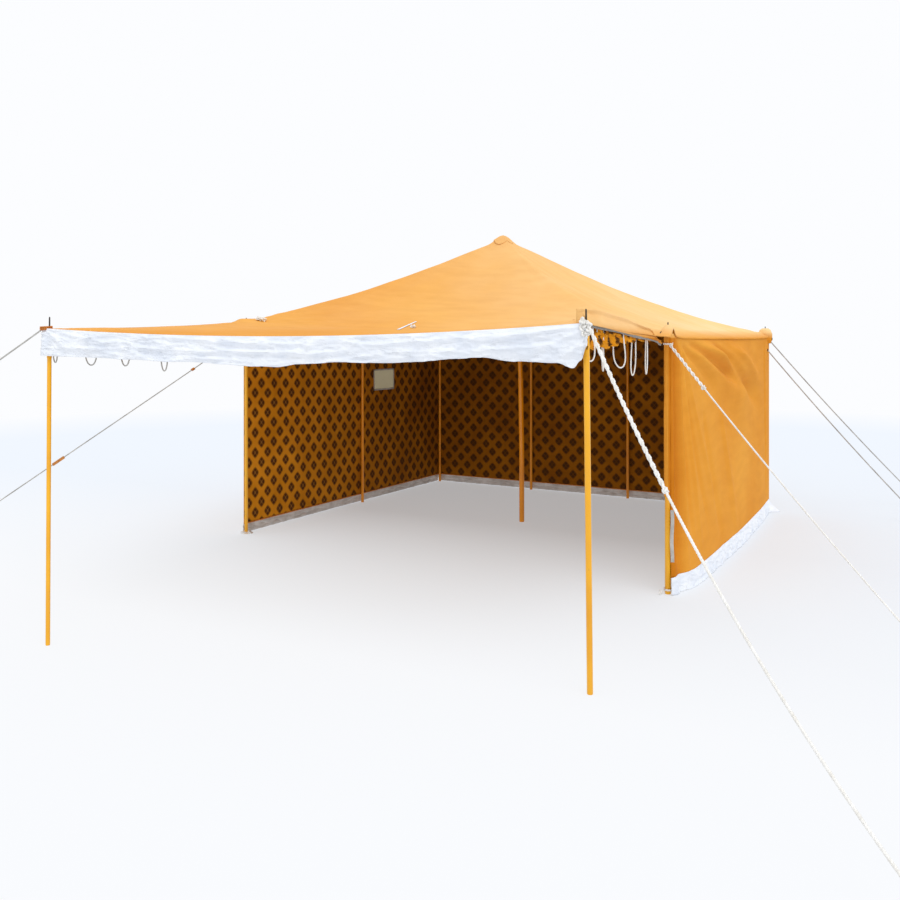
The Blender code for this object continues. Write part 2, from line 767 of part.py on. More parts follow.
def main():
    clear_scene()
    materials.update(
        canvas=make_material("canvas", (0.78, 0.42, 0.10), 0.85),
        cotton=make_material("white cotton", (0.80, 0.82, 0.86), 0.85),
        mesh=make_material("vent mesh", (0.35, 0.33, 0.26), 0.80),
        pole=make_material("yellow enamel", (0.80, 0.44, 0.03), 0.35),
        rope=make_material("rope", (0.85, 0.85, 0.83), 0.80),
        steel=make_material("steel", (0.25, 0.24, 0.23), 0.45, 1.0),
        wood=make_material("wood", (0.55, 0.28, 0.10), 0.60),
    )
    roof = make_roof()
    awning, awning_top = make_awning()
    make_valance(awning_top[-1])
    walls = {side: make_wall(side) for side in ("left", "back", "right")}
    make_vent(walls["left"])
    make_poles(roof, awning)
    make_guys()
    make_loops(awning, awning_top)


main()
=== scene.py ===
# %% [markdown]
# # A canvas tent with a lifted front wall
# This is a square tent of the kind that desert campers use. A pyramid roof hangs on one centre pole, three
# walls hang from its edge, and the front wall is lifted on two more poles as an awning. The frame that is
# loaded here holds the poles, ropes, pegs and plain stand-ins for the cloth, all in metres. This script
# gives them their looks: it hangs modelled cloth where the stand-ins are, lays real rope along the guys, and
# finishes each surface.

# %% Load the frame
import json
import math

import bmesh
import bpy
from mathutils import Vector, noise
from mathutils.bvhtree import BVHTree
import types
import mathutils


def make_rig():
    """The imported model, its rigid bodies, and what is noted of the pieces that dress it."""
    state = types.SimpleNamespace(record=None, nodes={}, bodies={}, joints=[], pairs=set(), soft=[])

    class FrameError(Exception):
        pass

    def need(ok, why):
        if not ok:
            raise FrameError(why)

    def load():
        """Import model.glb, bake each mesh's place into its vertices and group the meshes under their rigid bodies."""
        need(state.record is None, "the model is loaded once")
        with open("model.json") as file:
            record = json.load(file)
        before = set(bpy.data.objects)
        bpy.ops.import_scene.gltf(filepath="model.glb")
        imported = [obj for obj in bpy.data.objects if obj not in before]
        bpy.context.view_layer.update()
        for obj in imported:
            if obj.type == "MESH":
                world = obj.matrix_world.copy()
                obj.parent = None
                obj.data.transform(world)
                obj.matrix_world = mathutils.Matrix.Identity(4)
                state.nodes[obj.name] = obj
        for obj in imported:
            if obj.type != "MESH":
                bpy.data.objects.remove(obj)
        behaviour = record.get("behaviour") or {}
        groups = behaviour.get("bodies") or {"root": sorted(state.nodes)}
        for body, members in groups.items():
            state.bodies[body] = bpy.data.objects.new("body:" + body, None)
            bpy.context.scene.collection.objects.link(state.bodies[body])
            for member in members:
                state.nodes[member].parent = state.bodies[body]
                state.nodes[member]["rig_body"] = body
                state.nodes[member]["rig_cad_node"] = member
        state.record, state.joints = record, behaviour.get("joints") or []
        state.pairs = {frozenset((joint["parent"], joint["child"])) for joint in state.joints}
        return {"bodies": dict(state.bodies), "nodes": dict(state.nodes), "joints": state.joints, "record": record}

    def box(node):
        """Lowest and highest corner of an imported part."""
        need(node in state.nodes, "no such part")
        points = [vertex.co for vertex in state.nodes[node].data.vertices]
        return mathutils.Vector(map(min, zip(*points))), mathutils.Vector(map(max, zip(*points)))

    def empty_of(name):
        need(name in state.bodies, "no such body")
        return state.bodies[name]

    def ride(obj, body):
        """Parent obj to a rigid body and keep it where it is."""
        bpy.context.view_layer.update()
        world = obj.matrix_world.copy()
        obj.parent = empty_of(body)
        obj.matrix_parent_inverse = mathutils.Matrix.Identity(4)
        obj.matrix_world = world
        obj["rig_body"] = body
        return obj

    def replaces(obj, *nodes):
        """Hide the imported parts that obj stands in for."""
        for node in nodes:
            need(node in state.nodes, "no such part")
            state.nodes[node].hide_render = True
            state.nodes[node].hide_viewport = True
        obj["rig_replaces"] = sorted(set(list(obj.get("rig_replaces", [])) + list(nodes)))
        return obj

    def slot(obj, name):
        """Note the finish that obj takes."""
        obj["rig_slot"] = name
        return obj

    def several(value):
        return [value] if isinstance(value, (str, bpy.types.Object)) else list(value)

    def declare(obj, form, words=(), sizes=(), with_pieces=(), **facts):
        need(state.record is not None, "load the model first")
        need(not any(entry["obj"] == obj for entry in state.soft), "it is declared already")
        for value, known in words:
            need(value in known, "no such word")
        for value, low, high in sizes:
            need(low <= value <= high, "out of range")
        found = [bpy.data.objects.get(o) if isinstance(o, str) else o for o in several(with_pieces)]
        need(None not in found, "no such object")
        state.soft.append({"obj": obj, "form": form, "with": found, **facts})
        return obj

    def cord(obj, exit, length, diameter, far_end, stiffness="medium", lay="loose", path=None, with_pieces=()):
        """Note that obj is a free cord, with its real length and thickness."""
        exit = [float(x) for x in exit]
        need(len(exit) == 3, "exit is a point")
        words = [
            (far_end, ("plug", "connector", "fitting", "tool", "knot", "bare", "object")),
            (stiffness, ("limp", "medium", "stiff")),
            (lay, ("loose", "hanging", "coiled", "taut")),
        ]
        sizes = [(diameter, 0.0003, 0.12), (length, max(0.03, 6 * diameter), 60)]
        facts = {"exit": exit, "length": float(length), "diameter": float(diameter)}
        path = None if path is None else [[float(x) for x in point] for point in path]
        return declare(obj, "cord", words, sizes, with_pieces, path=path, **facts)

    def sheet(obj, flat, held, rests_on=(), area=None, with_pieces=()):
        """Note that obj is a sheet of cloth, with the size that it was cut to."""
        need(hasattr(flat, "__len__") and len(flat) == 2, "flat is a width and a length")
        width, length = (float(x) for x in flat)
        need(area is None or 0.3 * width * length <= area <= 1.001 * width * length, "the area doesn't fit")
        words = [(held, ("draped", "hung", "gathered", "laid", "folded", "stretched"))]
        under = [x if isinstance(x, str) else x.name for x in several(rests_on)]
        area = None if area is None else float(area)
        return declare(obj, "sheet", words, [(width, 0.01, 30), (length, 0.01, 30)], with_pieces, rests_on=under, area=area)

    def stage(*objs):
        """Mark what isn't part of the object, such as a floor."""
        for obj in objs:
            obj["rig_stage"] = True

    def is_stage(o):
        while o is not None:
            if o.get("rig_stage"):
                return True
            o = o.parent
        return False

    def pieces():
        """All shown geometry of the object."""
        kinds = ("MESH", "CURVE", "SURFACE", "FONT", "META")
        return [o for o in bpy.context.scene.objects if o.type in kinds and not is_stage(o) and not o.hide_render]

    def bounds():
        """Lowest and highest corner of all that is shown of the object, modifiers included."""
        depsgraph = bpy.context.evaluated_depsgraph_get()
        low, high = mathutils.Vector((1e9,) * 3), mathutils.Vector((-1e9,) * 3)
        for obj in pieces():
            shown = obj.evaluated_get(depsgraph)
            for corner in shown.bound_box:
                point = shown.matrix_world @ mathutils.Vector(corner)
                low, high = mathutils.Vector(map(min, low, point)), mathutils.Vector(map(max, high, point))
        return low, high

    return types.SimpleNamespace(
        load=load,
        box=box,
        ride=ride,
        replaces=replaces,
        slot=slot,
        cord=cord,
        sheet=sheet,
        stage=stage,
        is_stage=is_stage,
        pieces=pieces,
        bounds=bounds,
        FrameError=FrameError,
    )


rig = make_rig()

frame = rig.load()
cad_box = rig.bounds()
BODY = next(iter(frame["bodies"]))
print("frame:", len(frame["nodes"]), "nodes on body", BODY)

# %% [markdown]
# ## Helpers
# Cloth is made here in mesh code, as a grid of points that a formula places, because a formula can repeat
# the shape of the frame's stand-ins exactly. Rigid pieces are made with operators, as by hand. Both need a
# few small helpers: one to start with nothing selected, one to apply a modifier, and one to put a finished
# piece on the body.

# %% Helpers for pieces
UP = Vector((0, 0, 1))


def only(piece):
    """Select one piece and nothing else."""
    bpy.ops.object.select_all(action="DESELECT")
    piece.select_set(True)
    bpy.context.view_layer.objects.active = piece


def apply_modifier(piece, kind, **settings):
    """Add a modifier with its settings and apply it at once."""
    only(piece)
    modifier = piece.modifiers.new(kind.title(), kind)
    for key, value in settings.items():
        setattr(modifier, key, value)
    bpy.ops.object.modifier_apply(modifier=modifier.name)


def place_piece(piece, slot, *nodes):
    """Put a finished piece on the tent's body, in the stead of the frame's nodes."""
    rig.ride(piece, BODY)
    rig.slot(piece, slot)
    if nodes:
        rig.replaces(piece, *nodes)
    return piece


def mesh_piece(name, points, faces, materials, uvs=None):
    """A mesh from points and faces. uvs gives each point its place on the cloth in metres."""
    mesh = bpy.data.meshes.new(name)
    mesh.from_pydata([tuple(p) for p in points], [], faces)
    for material in materials:
        mesh.materials.append(material)
    if uvs is not None:
        layer = mesh.uv_layers.new(name="cloth")
        corners = [uvs[loop.vertex_index] for loop in mesh.loops]
        layer.data.foreach_set("uv", [c for uv in corners for c in uv])
    mesh.shade_smooth()
    piece = bpy.data.objects.new(name, mesh)
    bpy.context.scene.collection.objects.link(piece)
    return piece


def grid_piece(name, rows, materials, closed=False):
    """A sheet from rows of points, with its own lengths as the cloth's places. Its front is on the right-hand
    side of someone who walks along a row with the next row below."""
    count = len(rows[0])
    points = [p for row in rows for p in row]
    faces = []
    for r in range(len(rows) - 1):
        for k in range(count if closed else count - 1):
            n = (k + 1) % count
            faces.append((r * count + k, (r + 1) * count + k, (r + 1) * count + n, r * count + n))
    along = [0.0]
    for a, b in zip(rows[0], rows[0][1:]):
        along.append(along[-1] + (b - a).length)
    uvs = []
    down = [0.0] * count
    for r, row in enumerate(rows):
        if r:
            down = [d + (b - a).length for d, a, b in zip(down, rows[r - 1], row)]
        uvs += [(a, -d) for a, d in zip(along, down)]
    return mesh_piece(name, points, faces, materials, uvs)


def make_sheet(piece, thickness, slot, nodes, cut, held, rests_on):
    """Give a cloth its thickness, put it on the body and say what size it was cut to."""
    area = sum(p.area for p in piece.data.polygons)
    inner = len(piece.data.materials) - 1
    apply_modifier(piece, "SOLIDIFY", thickness=thickness, offset=-1, material_offset=inner)
    place_piece(piece, slot, *nodes)
    cut_area = cut[0] * cut[1]
    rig.sheet(piece, flat=cut, area=round(min(area, cut_area), 4), held=held, rests_on=rests_on)
    print(piece.name, len(piece.data.polygons), "faces,", round(area, 3), "m2 of", round(cut_area, 3))
    return piece


def grid_rows(count, columns, spot):
    """Rows of points for a grid. spot gives the point at a share down and a share across."""
    return [[spot(r / count, k / columns) for k in range(columns + 1)] for r in range(count + 1)]


def around(middle, radius, turn, height):
    """A point round an upright line."""
    return Vector((middle.x + radius * math.cos(turn), middle.y + radius * math.sin(turn), height))


def length_of(places):
    """The length of a line of places."""
    return sum((b - a).length for a, b in zip(places, places[1:]))


def eased(amount):
    """0 to 1 with a level start and end."""
    amount = max(0.0, min(1.0, amount))
    return amount * amount * (3 - 2 * amount)


def between(pairs, place):
    """Read a value between given pairs of place and value, eased from one to the next."""
    for (a, low), (b, high) in zip(pairs, pairs[1:]):
        if place <= b:
            return low + (high - low) * eased((place - a) / (b - a))
    return pairs[-1][1]


def hill(distance, width):
    """A soft hill, 1 at its middle."""
    return math.exp(-((distance / width) ** 2))


# %% [markdown]
# ## The camera
# The photograph was taken from standing height, level, a few metres in front of the tent's right half. The
# lens is moved down rather than tilted, so that the poles stay upright in the picture.

# %% Camera
CAMERA_PLACE = Vector((3.871, -8.207, 1.838))
CAMERA_LOOKS = Vector((-0.4967, 0.8679, 0))
CAMERA_RIGHT = Vector((0.8679, 0.4967, 0))
LENS_MM = 36.24
LENS_SHIFT = -0.125
PIXELS_PER_METRE = 906
MIDDLE_PIXEL = 450
HORIZON_PIXEL = 337.5

camera_data = bpy.data.cameras.new("camera")
camera_data.sensor_width = 36
camera_data.lens = LENS_MM
camera_data.shift_y = LENS_SHIFT
camera = bpy.data.objects.new("camera", camera_data)
bpy.context.scene.collection.objects.link(camera)
camera.location = CAMERA_PLACE
camera.rotation_euler = CAMERA_LOOKS.to_track_quat("-Z", "Y").to_euler()
bpy.context.scene.camera = camera
print("camera:", LENS_MM, "mm,", CAMERA_PLACE.z, "m above the ground")

# %% [markdown]
# ## Materials
# Every finish starts from a real material. Colours are given as they look on a screen, and one function
# turns them to the linear values that the shader needs. One more function adds a node with its settings and
# links.

# %% Helpers for materials
def colour(code):
    """A screen colour such as "F5A623" as linear red, green, blue and alpha."""
    channels = [int(code[k : k + 2], 16) / 255 for k in (0, 2, 4)]
    return [c / 12.92 if c <= 0.04045 else ((c + 0.055) / 1.055) ** 2.4 for c in channels] + [1.0]


def node(tree, kind, values=None, links=None, **settings):
    """Add a node, with values for its sockets, links into its sockets, and its own settings."""
    made = tree.nodes.new("ShaderNode" + kind)
    for key, value in settings.items():
        setattr(made, key, value)
    for key, value in (values or {}).items():
        made.inputs[key].default_value = value
    for key, output in (links or {}).items():
        tree.links.new(output, made.inputs[key])
    return made


def new_material(name, roughness, **sockets):
    """A material with a Principled shader, and what its nodes are added to."""
    material = bpy.data.materials.new(name)
    material.use_nodes = True
    tree = material.node_tree
    shader = tree.nodes["Principled BSDF"]
    shader.inputs["Roughness"].default_value = roughness
    for key, value in sockets.items():
        shader.inputs[key.replace("_", " ")].default_value = value
    return material, tree, shader


def mottled(tree, place, light, dark, scale, stretch=(1, 1, 1), detail=4.0):
    """A soft uneven mix of two colours, stretched along the cloth where stretch says so."""
    spread = node(tree, "Mapping", {"Scale": stretch}, {"Vector": place})
    cloud = node(tree, "TexNoise", {"Scale": scale, "Detail": detail}, {"Vector": spread.outputs[0]})
    ramp = node(tree, "ValToRGB", links={"Fac": cloud.outputs["Fac"]})
    ramp.color_ramp.elements[0].position = 0.30
    ramp.color_ramp.elements[1].position = 0.70
    ramp.color_ramp.elements[0].color = colour(dark)
    ramp.color_ramp.elements[1].color = colour(light)
    return ramp.outputs["Color"]


def weave_height(tree, place, pitch_mm):
    """Plain weave as two crossing waves of threads."""
    waves = []
    for direction in ("X", "Y"):
        wave = node(
            tree,
            "TexWave",
            {"Scale": 1000 / pitch_mm / 10, "Distortion": 1.5, "Detail": 1.0, "Detail Scale": 0.6},
            {"Vector": place},
            bands_direction=direction,
        )
        waves.append(wave.outputs["Fac"])
    return node(tree, "Math", links={0: waves[0], 1: waves[1]}, operation="ADD").outputs[0]


def surface_bump(tree, shader, heights):
    """Pile up bumps, each given as its height output and its depth in metres."""
    normal = None
    for height, depth in heights:
        links = {"Height": height}
        if normal is not None:
            links["Normal"] = normal
        normal = node(tree, "Bump", {"Strength": 1.0, "Distance": depth}, links).outputs["Normal"]
    tree.links.new(normal, shader.inputs["Normal"])


# %% [markdown]
# ### Ochre cotton canvas
# The outside is plain-woven cotton duck, dyed ochre and uneven in tone. A painted highlight lightens the roof and its
# back right, and painted shade darkens a strip of the right wall behind the front pole. The eye sees a dull surface
# with long faint streaks along the thicker threads, and a fine weave close up. The real threads are 0.7 mm apart,
# which is too fine to show, so the weave is drawn at 4 mm.

# %% Canvas
WEAVE_MM = 4.0
# Cotton hardly shines
CLOTH_SHINE = 0.12
CANVAS_COLOURS = ("E9A23C", "DF9029")
# Painted highlight: the lighter colour of the roof and its back right
HIGHLIGHT_COLOURS = ("FBDBA6", "F7D08D")
# Painted shade: the deeper colour of the strip behind the front pole
SHADE_STRIP_COLOURS = ("D4821E", "CA7816")
STREAK_COLOURS = ("FFFFFF", "F7F4F0")
# The heights between which the painted highlight sets in, and the span over which it grows to the right and, half as
# much, to the back. Only a share of it grows so
HIGHLIGHT_HEIGHTS = (1.83, 1.91)
HIGHLIGHT_SPAN = (-1.5, 2.2)
HIGHLIGHT_BACK = 0.5
HIGHLIGHT_SHARE = 0.78
# The spans along X, Y and Z over which the painted shade strip sets in
SHADE_STRIP = ((2.006, 2.014), (-1.61, -1.73), (1.84, 1.83))


def painted_highlight(tree, solid):
    """How much painted highlight the canvas gets: the roof more than the walls, and its back right most."""
    x, y, z = node(tree, "SeparateXYZ", links={0: solid}).outputs
    highlight_run = node(tree, "Math", {1: HIGHLIGHT_BACK}, {0: y, 2: x}, operation="MULTIPLY_ADD").outputs[0]
    roof, right = (
        node(tree, "MapRange", {"From Min": low, "From Max": high}, {"Value": value}).outputs[0]
        for value, (low, high) in ((z, HIGHLIGHT_HEIGHTS), (highlight_run, HIGHLIGHT_SPAN))
    )
    share = node(tree, "Math", {1: HIGHLIGHT_SHARE, 2: 1 - HIGHLIGHT_SHARE}, {0: right}, operation="MULTIPLY_ADD")
    return node(tree, "Math", links={0: roof, 1: share.outputs[0]}, operation="MULTIPLY").outputs[0]


def painted_shade_strip(tree, solid):
    """Painted shade on the strip of the right wall just behind the front pole."""
    share = None
    for value, (low, high) in zip(node(tree, "SeparateXYZ", links={0: solid}).outputs, SHADE_STRIP):
        span = node(tree, "MapRange", {"From Min": low, "From Max": high}, {"Value": value}).outputs[0]
        if share is not None:
            span = node(tree, "Math", links={0: share, 1: span}, operation="MULTIPLY").outputs[0]
        share = span
    return share


def make_canvas():
    """Dyed canvas with a painted highlight and a painted shade strip by place, streaks along the cloth, a soft crumple
    and the weave.
    """
    material, tree, shader = new_material("ochre cotton canvas", 0.88, Specular_IOR_Level=CLOTH_SHINE)
    cloth = node(tree, "UVMap", uv_map="cloth").outputs[0]
    solid = node(tree, "TexCoord").outputs["Object"]
    painted_light = mottled(tree, solid, *CANVAS_COLOURS, scale=0.9)
    # Painted light: the highlight on the roof and its back right, then the shade on the strip behind the front pole
    layers = ((painted_highlight(tree, solid), HIGHLIGHT_COLOURS, 1.3), (painted_shade_strip(tree, solid), SHADE_STRIP_COLOURS, 3.0))
    for share, colours, scale in layers:
        links = {"Factor": share, "A": painted_light, "B": mottled(tree, solid, *colours, scale=scale)}
        painted_light = node(tree, "Mix", links=links, data_type="RGBA").outputs["Result"]
    streaks = mottled(tree, cloth, *STREAK_COLOURS, scale=6.0, stretch=(0.5, 2.0, 1), detail=6.0)
    links = {"A": painted_light, "B": streaks}
    mixed = node(tree, "Mix", {"Factor": 1.0}, links, data_type="RGBA", blend_type="MULTIPLY")
    tree.links.new(mixed.outputs["Result"], shader.inputs["Base Color"])
    crumple = node(tree, "TexNoise", {"Scale": 7.0, "Detail": 5.0, "Distortion": 0.8}, {"Vector": cloth})
    weave = weave_height(tree, cloth, WEAVE_MM)
    surface_bump(tree, shader, [(crumple.outputs["Fac"], 0.003), (weave, 0.0004)])
    return material


canvas = make_canvas()

# %% [markdown]
# ### Printed lining
# Inside hangs a thinner cotton lining, block printed in dark brown on ochre. The ochre and the print's paler eyes are
# painted darker towards the back, as painted shade. The print is a common lozenge of four leaves round a paler eye, in
# staggered rows. Two slanting coordinates make staggered rows simple: both are whole numbers at the middle of each
# lozenge, so the distance to the nearest whole numbers draws it.

# %% Lining
PRINT_MM = (178, 190)
# Where the ink of each part ends and where it is full, as shares of a lozenge
PRINT_SPANS = {"lozenge": (0.37, 0.25), "eye": (0.15, 0.09), "vein": (0.035, 0.012)}
LINING_COLOURS = ("F0A024", "D08610")
# Painted shade: the darker ground at the back of the lining
LINING_SHADE_COLOURS = ("A4660A", "864E04")
# The span along Y over which the lining is painted darker, as shade towards the back
LINING_SHADE_SPAN = (-1.9, 1.4)
PRINT_COLOURS = ("4A2A10", "745430")
ROUNDING = 0.3


def print_masks(tree, cloth):
    """How much ink there is at each place: the whole lozenge, its pale eye and its thin veins."""
    across, down = (
        node(tree, "Math", {1: 1000 / size_mm}, {0: output}, operation="MULTIPLY").outputs[0]
        for output, size_mm in zip(node(tree, "SeparateXYZ", links={0: cloth}).outputs, PRINT_MM)
    )
    slants = {}
    for number, way in enumerate(("ADD", "SUBTRACT")):
        slant = node(tree, "Math", links={0: across, 1: down}, operation=way).outputs[0]
        slants[number] = node(tree, "Math", {1: 0.5}, {0: slant}, operation="PINGPONG").outputs[0]
    far = node(tree, "Math", {2: ROUNDING}, slants, operation="SMOOTH_MAX").outputs[0]
    near = node(tree, "Math", links=slants, operation="MINIMUM").outputs[0]
    masks = {}
    for name, (outside, inside) in PRINT_SPANS.items():
        spans = {"From Min": outside, "From Max": inside}
        value = near if name == "vein" else far
        masks[name] = node(tree, "MapRange", spans, {"Value": value}).outputs[0]
    return masks


def make_lining():
    """Printed lining: its ground and its eyes painted darker towards the back as shade, and the ink laid on with worn
    spots and veins.
    """
    material, tree, shader = new_material("printed cotton lining", 0.90, Specular_IOR_Level=CLOTH_SHINE)
    cloth = node(tree, "UVMap", uv_map="cloth").outputs[0]
    solid = node(tree, "TexCoord").outputs["Object"]
    back = node(tree, "SeparateXYZ", links={0: solid}).outputs["Y"]
    span = {"From Min": LINING_SHADE_SPAN[0], "From Max": LINING_SHADE_SPAN[1]}
    darker = node(tree, "MapRange", span, {"Value": back}).outputs[0]
    pale = mottled(tree, solid, *LINING_COLOURS, scale=2.5)
    painted_shade_ground = mottled(tree, solid, *LINING_SHADE_COLOURS, scale=2.5)
    links = {"Factor": darker, "A": pale, "B": painted_shade_ground}
    ground = node(tree, "Mix", links=links, data_type="RGBA").outputs["Result"]
    masks = print_masks(tree, cloth)
    worn = node(tree, "TexNoise", {"Scale": 260.0, "Detail": 2.0}, {"Vector": cloth}).outputs["Fac"]
    span = {"From Min": 0.2, "From Max": 0.5, "To Min": 0.75}
    ink = node(tree, "MapRange", span, {"Value": worn}).outputs[0]
    vein = node(tree, "Math", {1: -0.3, 2: 1.0}, {0: masks["vein"]}, operation="MULTIPLY_ADD").outputs[0]
    inked = masks["lozenge"]
    for part in (ink, vein):
        inked = node(tree, "Math", links={0: inked, 1: part}, operation="MULTIPLY").outputs[0]
    leaf_colours = {"A": colour(PRINT_COLOURS[0]), "B": colour(PRINT_COLOURS[1])}
    # The eyes lose their paler colour under the painted shade
    painted_light = node(tree, "Math", {0: 1.0}, {1: darker}, operation="SUBTRACT").outputs[0]
    eye = node(tree, "Math", links={0: masks["eye"], 1: painted_light}, operation="MULTIPLY").outputs[0]
    leaf = node(tree, "Mix", leaf_colours, {"Factor": eye}, data_type="RGBA").outputs["Result"]
    printed = node(tree, "Mix", links={"Factor": inked, "A": ground, "B": leaf}, data_type="RGBA")
    tree.links.new(printed.outputs["Result"], shader.inputs["Base Color"])
    soft = node(tree, "TexNoise", {"Scale": 7.0, "Detail": 4.0, "Distortion": 0.5}, {"Vector": cloth})
    surface_bump(tree, shader, [(soft.outputs["Fac"], 0.010), (weave_height(tree, cloth, WEAVE_MM), 0.0003)])
    return material


lining = make_lining()

# %% [markdown]
# ### White cotton, rope, paint, net and metal
# The mud skirts are bleached cotton, creased from being folded, and read slightly blue in open shade. Their inner
# sides are grey with dust. The rope is soft laid cotton, white, with a grey copy that is painted shade for ropes seen
# on their shaded side; the vent's tapes and a strap take the same grey. The poles are thin steel tube in yellow
# enamel, glossy but scuffed; those inside are painted more orange, as painted bounce light from the lining. The vent
# is a grey net.

# %% The other finishes
NET_MM = 6.0
NET_DAYLIGHT = 0.7


def make_cotton():
    """White cotton with sharp creases that run along the cloth."""
    material, tree, shader = new_material("bleached cotton", 0.85, Specular_IOR_Level=CLOTH_SHINE)
    cloth = node(tree, "UVMap", uv_map="cloth").outputs[0]
    solid = node(tree, "TexCoord").outputs["Object"]
    tree.links.new(mottled(tree, solid, "F3F6FB", "E3E9F3", scale=7.0), shader.inputs["Base Color"])
    creased = node(tree, "Mapping", {"Scale": (0.6, 1.8, 1)}, {"Vector": cloth})
    place = {"Vector": creased.outputs[0]}
    crumple = node(tree, "TexNoise", {"Scale": 16.0, "Detail": 5.0, "Distortion": 1.2}, place)
    ridges = {"Scale": 5.0, "Detail": 3.0, "Distortion": 0.6}
    folds = node(tree, "TexNoise", ridges, place, noise_type="RIDGED_MULTIFRACTAL")
    heights = [(folds.outputs["Fac"], 0.006), (crumple.outputs["Fac"], 0.010)]
    surface_bump(tree, shader, heights + [(weave_height(tree, cloth, WEAVE_MM), 0.0002)])
    return material


def make_plain(name, light, dark, roughness, scale, grain_mm, depth, **sockets):
    """A finish in object space: an uneven colour, and a fine grain as a bump."""
    material, tree, shader = new_material(name, roughness, **sockets)
    solid = node(tree, "TexCoord").outputs["Object"]
    tree.links.new(mottled(tree, solid, light, dark, scale), shader.inputs["Base Color"])
    grain = node(tree, "TexNoise", {"Scale": 1000 / grain_mm, "Detail": 3.0}, {"Vector": solid})
    surface_bump(tree, shader, [(grain.outputs["Fac"], depth)])
    return material


def make_enamel(name, light, dark):
    """Glossy paint with small chips drawn out along the tube, rougher where it is bare."""
    material, tree, shader = new_material(name, 0.34, IOR=1.5)
    solid = node(tree, "TexCoord").outputs["Object"]
    paint = mottled(tree, solid, light, dark, scale=3.0)
    drawn = node(tree, "Mapping", {"Scale": (1, 1, 0.12)}, {"Vector": solid})
    chips = node(
        tree, "TexNoise", {"Scale": 60.0, "Detail": 8.0, "Roughness": 0.7}, {"Vector": drawn.outputs[0]}
    )
    worn = node(tree, "MapRange", {"From Min": 0.66, "From Max": 0.72}, {"Value": chips.outputs["Fac"]})
    bare = node(
        tree, "Mix", {"B": colour("6B5A45")}, {"Factor": worn.outputs[0], "A": paint}, data_type="RGBA"
    )
    tree.links.new(bare.outputs["Result"], shader.inputs["Base Color"])
    rough = node(tree, "MapRange", {"To Min": 0.30, "To Max": 0.6}, {"Value": worn.outputs[0]})
    tree.links.new(rough.outputs[0], shader.inputs["Roughness"])
    surface_bump(tree, shader, [(chips.outputs["Fac"], 0.0004)])
    return material


def make_net():
    """Crossing threads that let part of the daylight through."""
    material, tree, shader = new_material("grey vent net", 0.8)
    cloth = node(tree, "UVMap", uv_map="cloth").outputs[0]
    threads = {}
    for number, output in enumerate(node(tree, "SeparateXYZ", links={0: cloth}).outputs[:2]):
        step = node(tree, "Math", {1: 1000 / NET_MM}, {0: output}, operation="MULTIPLY").outputs[0]
        threads[number] = node(tree, "Math", {1: 0.5}, {0: step}, operation="PINGPONG").outputs[0]
    near = node(tree, "Math", links=threads, operation="MINIMUM").outputs[0]
    mask = node(tree, "MapRange", {"From Min": 0.2, "From Max": 0.12}, {"Value": near}).outputs[0]
    colours = {"A": colour("BCB49E"), "B": colour("E2DCC8")}
    mix = node(tree, "Mix", colours, {"Factor": mask}, data_type="RGBA")
    tree.links.new(mix.outputs["Result"], shader.inputs["Base Color"])
    surface_bump(tree, shader, [(mask, 0.0008)])
    through = node(tree, "BsdfTranslucent", links={"Color": mix.outputs["Result"]})
    links = {1: shader.outputs[0], 2: through.outputs[0]}
    both = node(tree, "MixShader", {"Fac": NET_DAYLIGHT}, links)
    tree.links.new(both.outputs[0], tree.nodes["Material Output"].inputs["Surface"])
    return material


cotton = make_cotton()
enamel = make_enamel("yellow enamel on steel tube", "FABB1A", "EAA316")
# The poles inside get a more orange copy of the enamel: painted orange bounce light from the lining
bounce_lit_enamel = make_enamel("yellow enamel with painted orange bounce", "F49E08", "DE8806")
net = make_net()
rope_white = make_plain("laid cotton rope", "FCFBF8", "ECE9E2", 0.85, 20.0, 1.5, 0.0006)
# A darker grey copy of the white rope: painted shade for the guys and loops seen on their shaded side, and the plain
# grey of the vent's tapes and the hanging strap
rope_grey = make_plain("grey laid rope with painted shade", "C9C7C2", "A09E9A", 0.85, 12.0, 1.5, 0.0006)
steel = make_plain("forged steel", "5B5651", "38342F", 0.5, 30.0, 2.0, 0.0004, Metallic=1.0)
wood = make_plain("varnished hardwood", "D08A3A", "A8652A", 0.4, 40.0, 3.0, 0.0003)
webbing = make_plain("grey cotton webbing", "98928A", "6C665F", 0.85, 60.0, 3.0, 0.0008)
dusty = make_plain("dusty cotton", "DEDAD6", "BCB6B0", 0.9, 9.0, 3.0, 0.0008)
lacing = make_plain("tan lacing cord", "D98836", "A6601E", 0.8, 60.0, 2.0, 0.0005)
print("materials:", len(bpy.data.materials))

# %% [markdown]
# ## The canopy's shape
# The roof and the lifted front wall are sewn together, so one sheet makes both. The values below are those
# of the stand-ins in the frame. The roof hangs in four slopes from the centre pole to the corner poles. Each
# slope sags, the sides sag less where two slopes meet, and the edge drops quickly beside each corner pole.

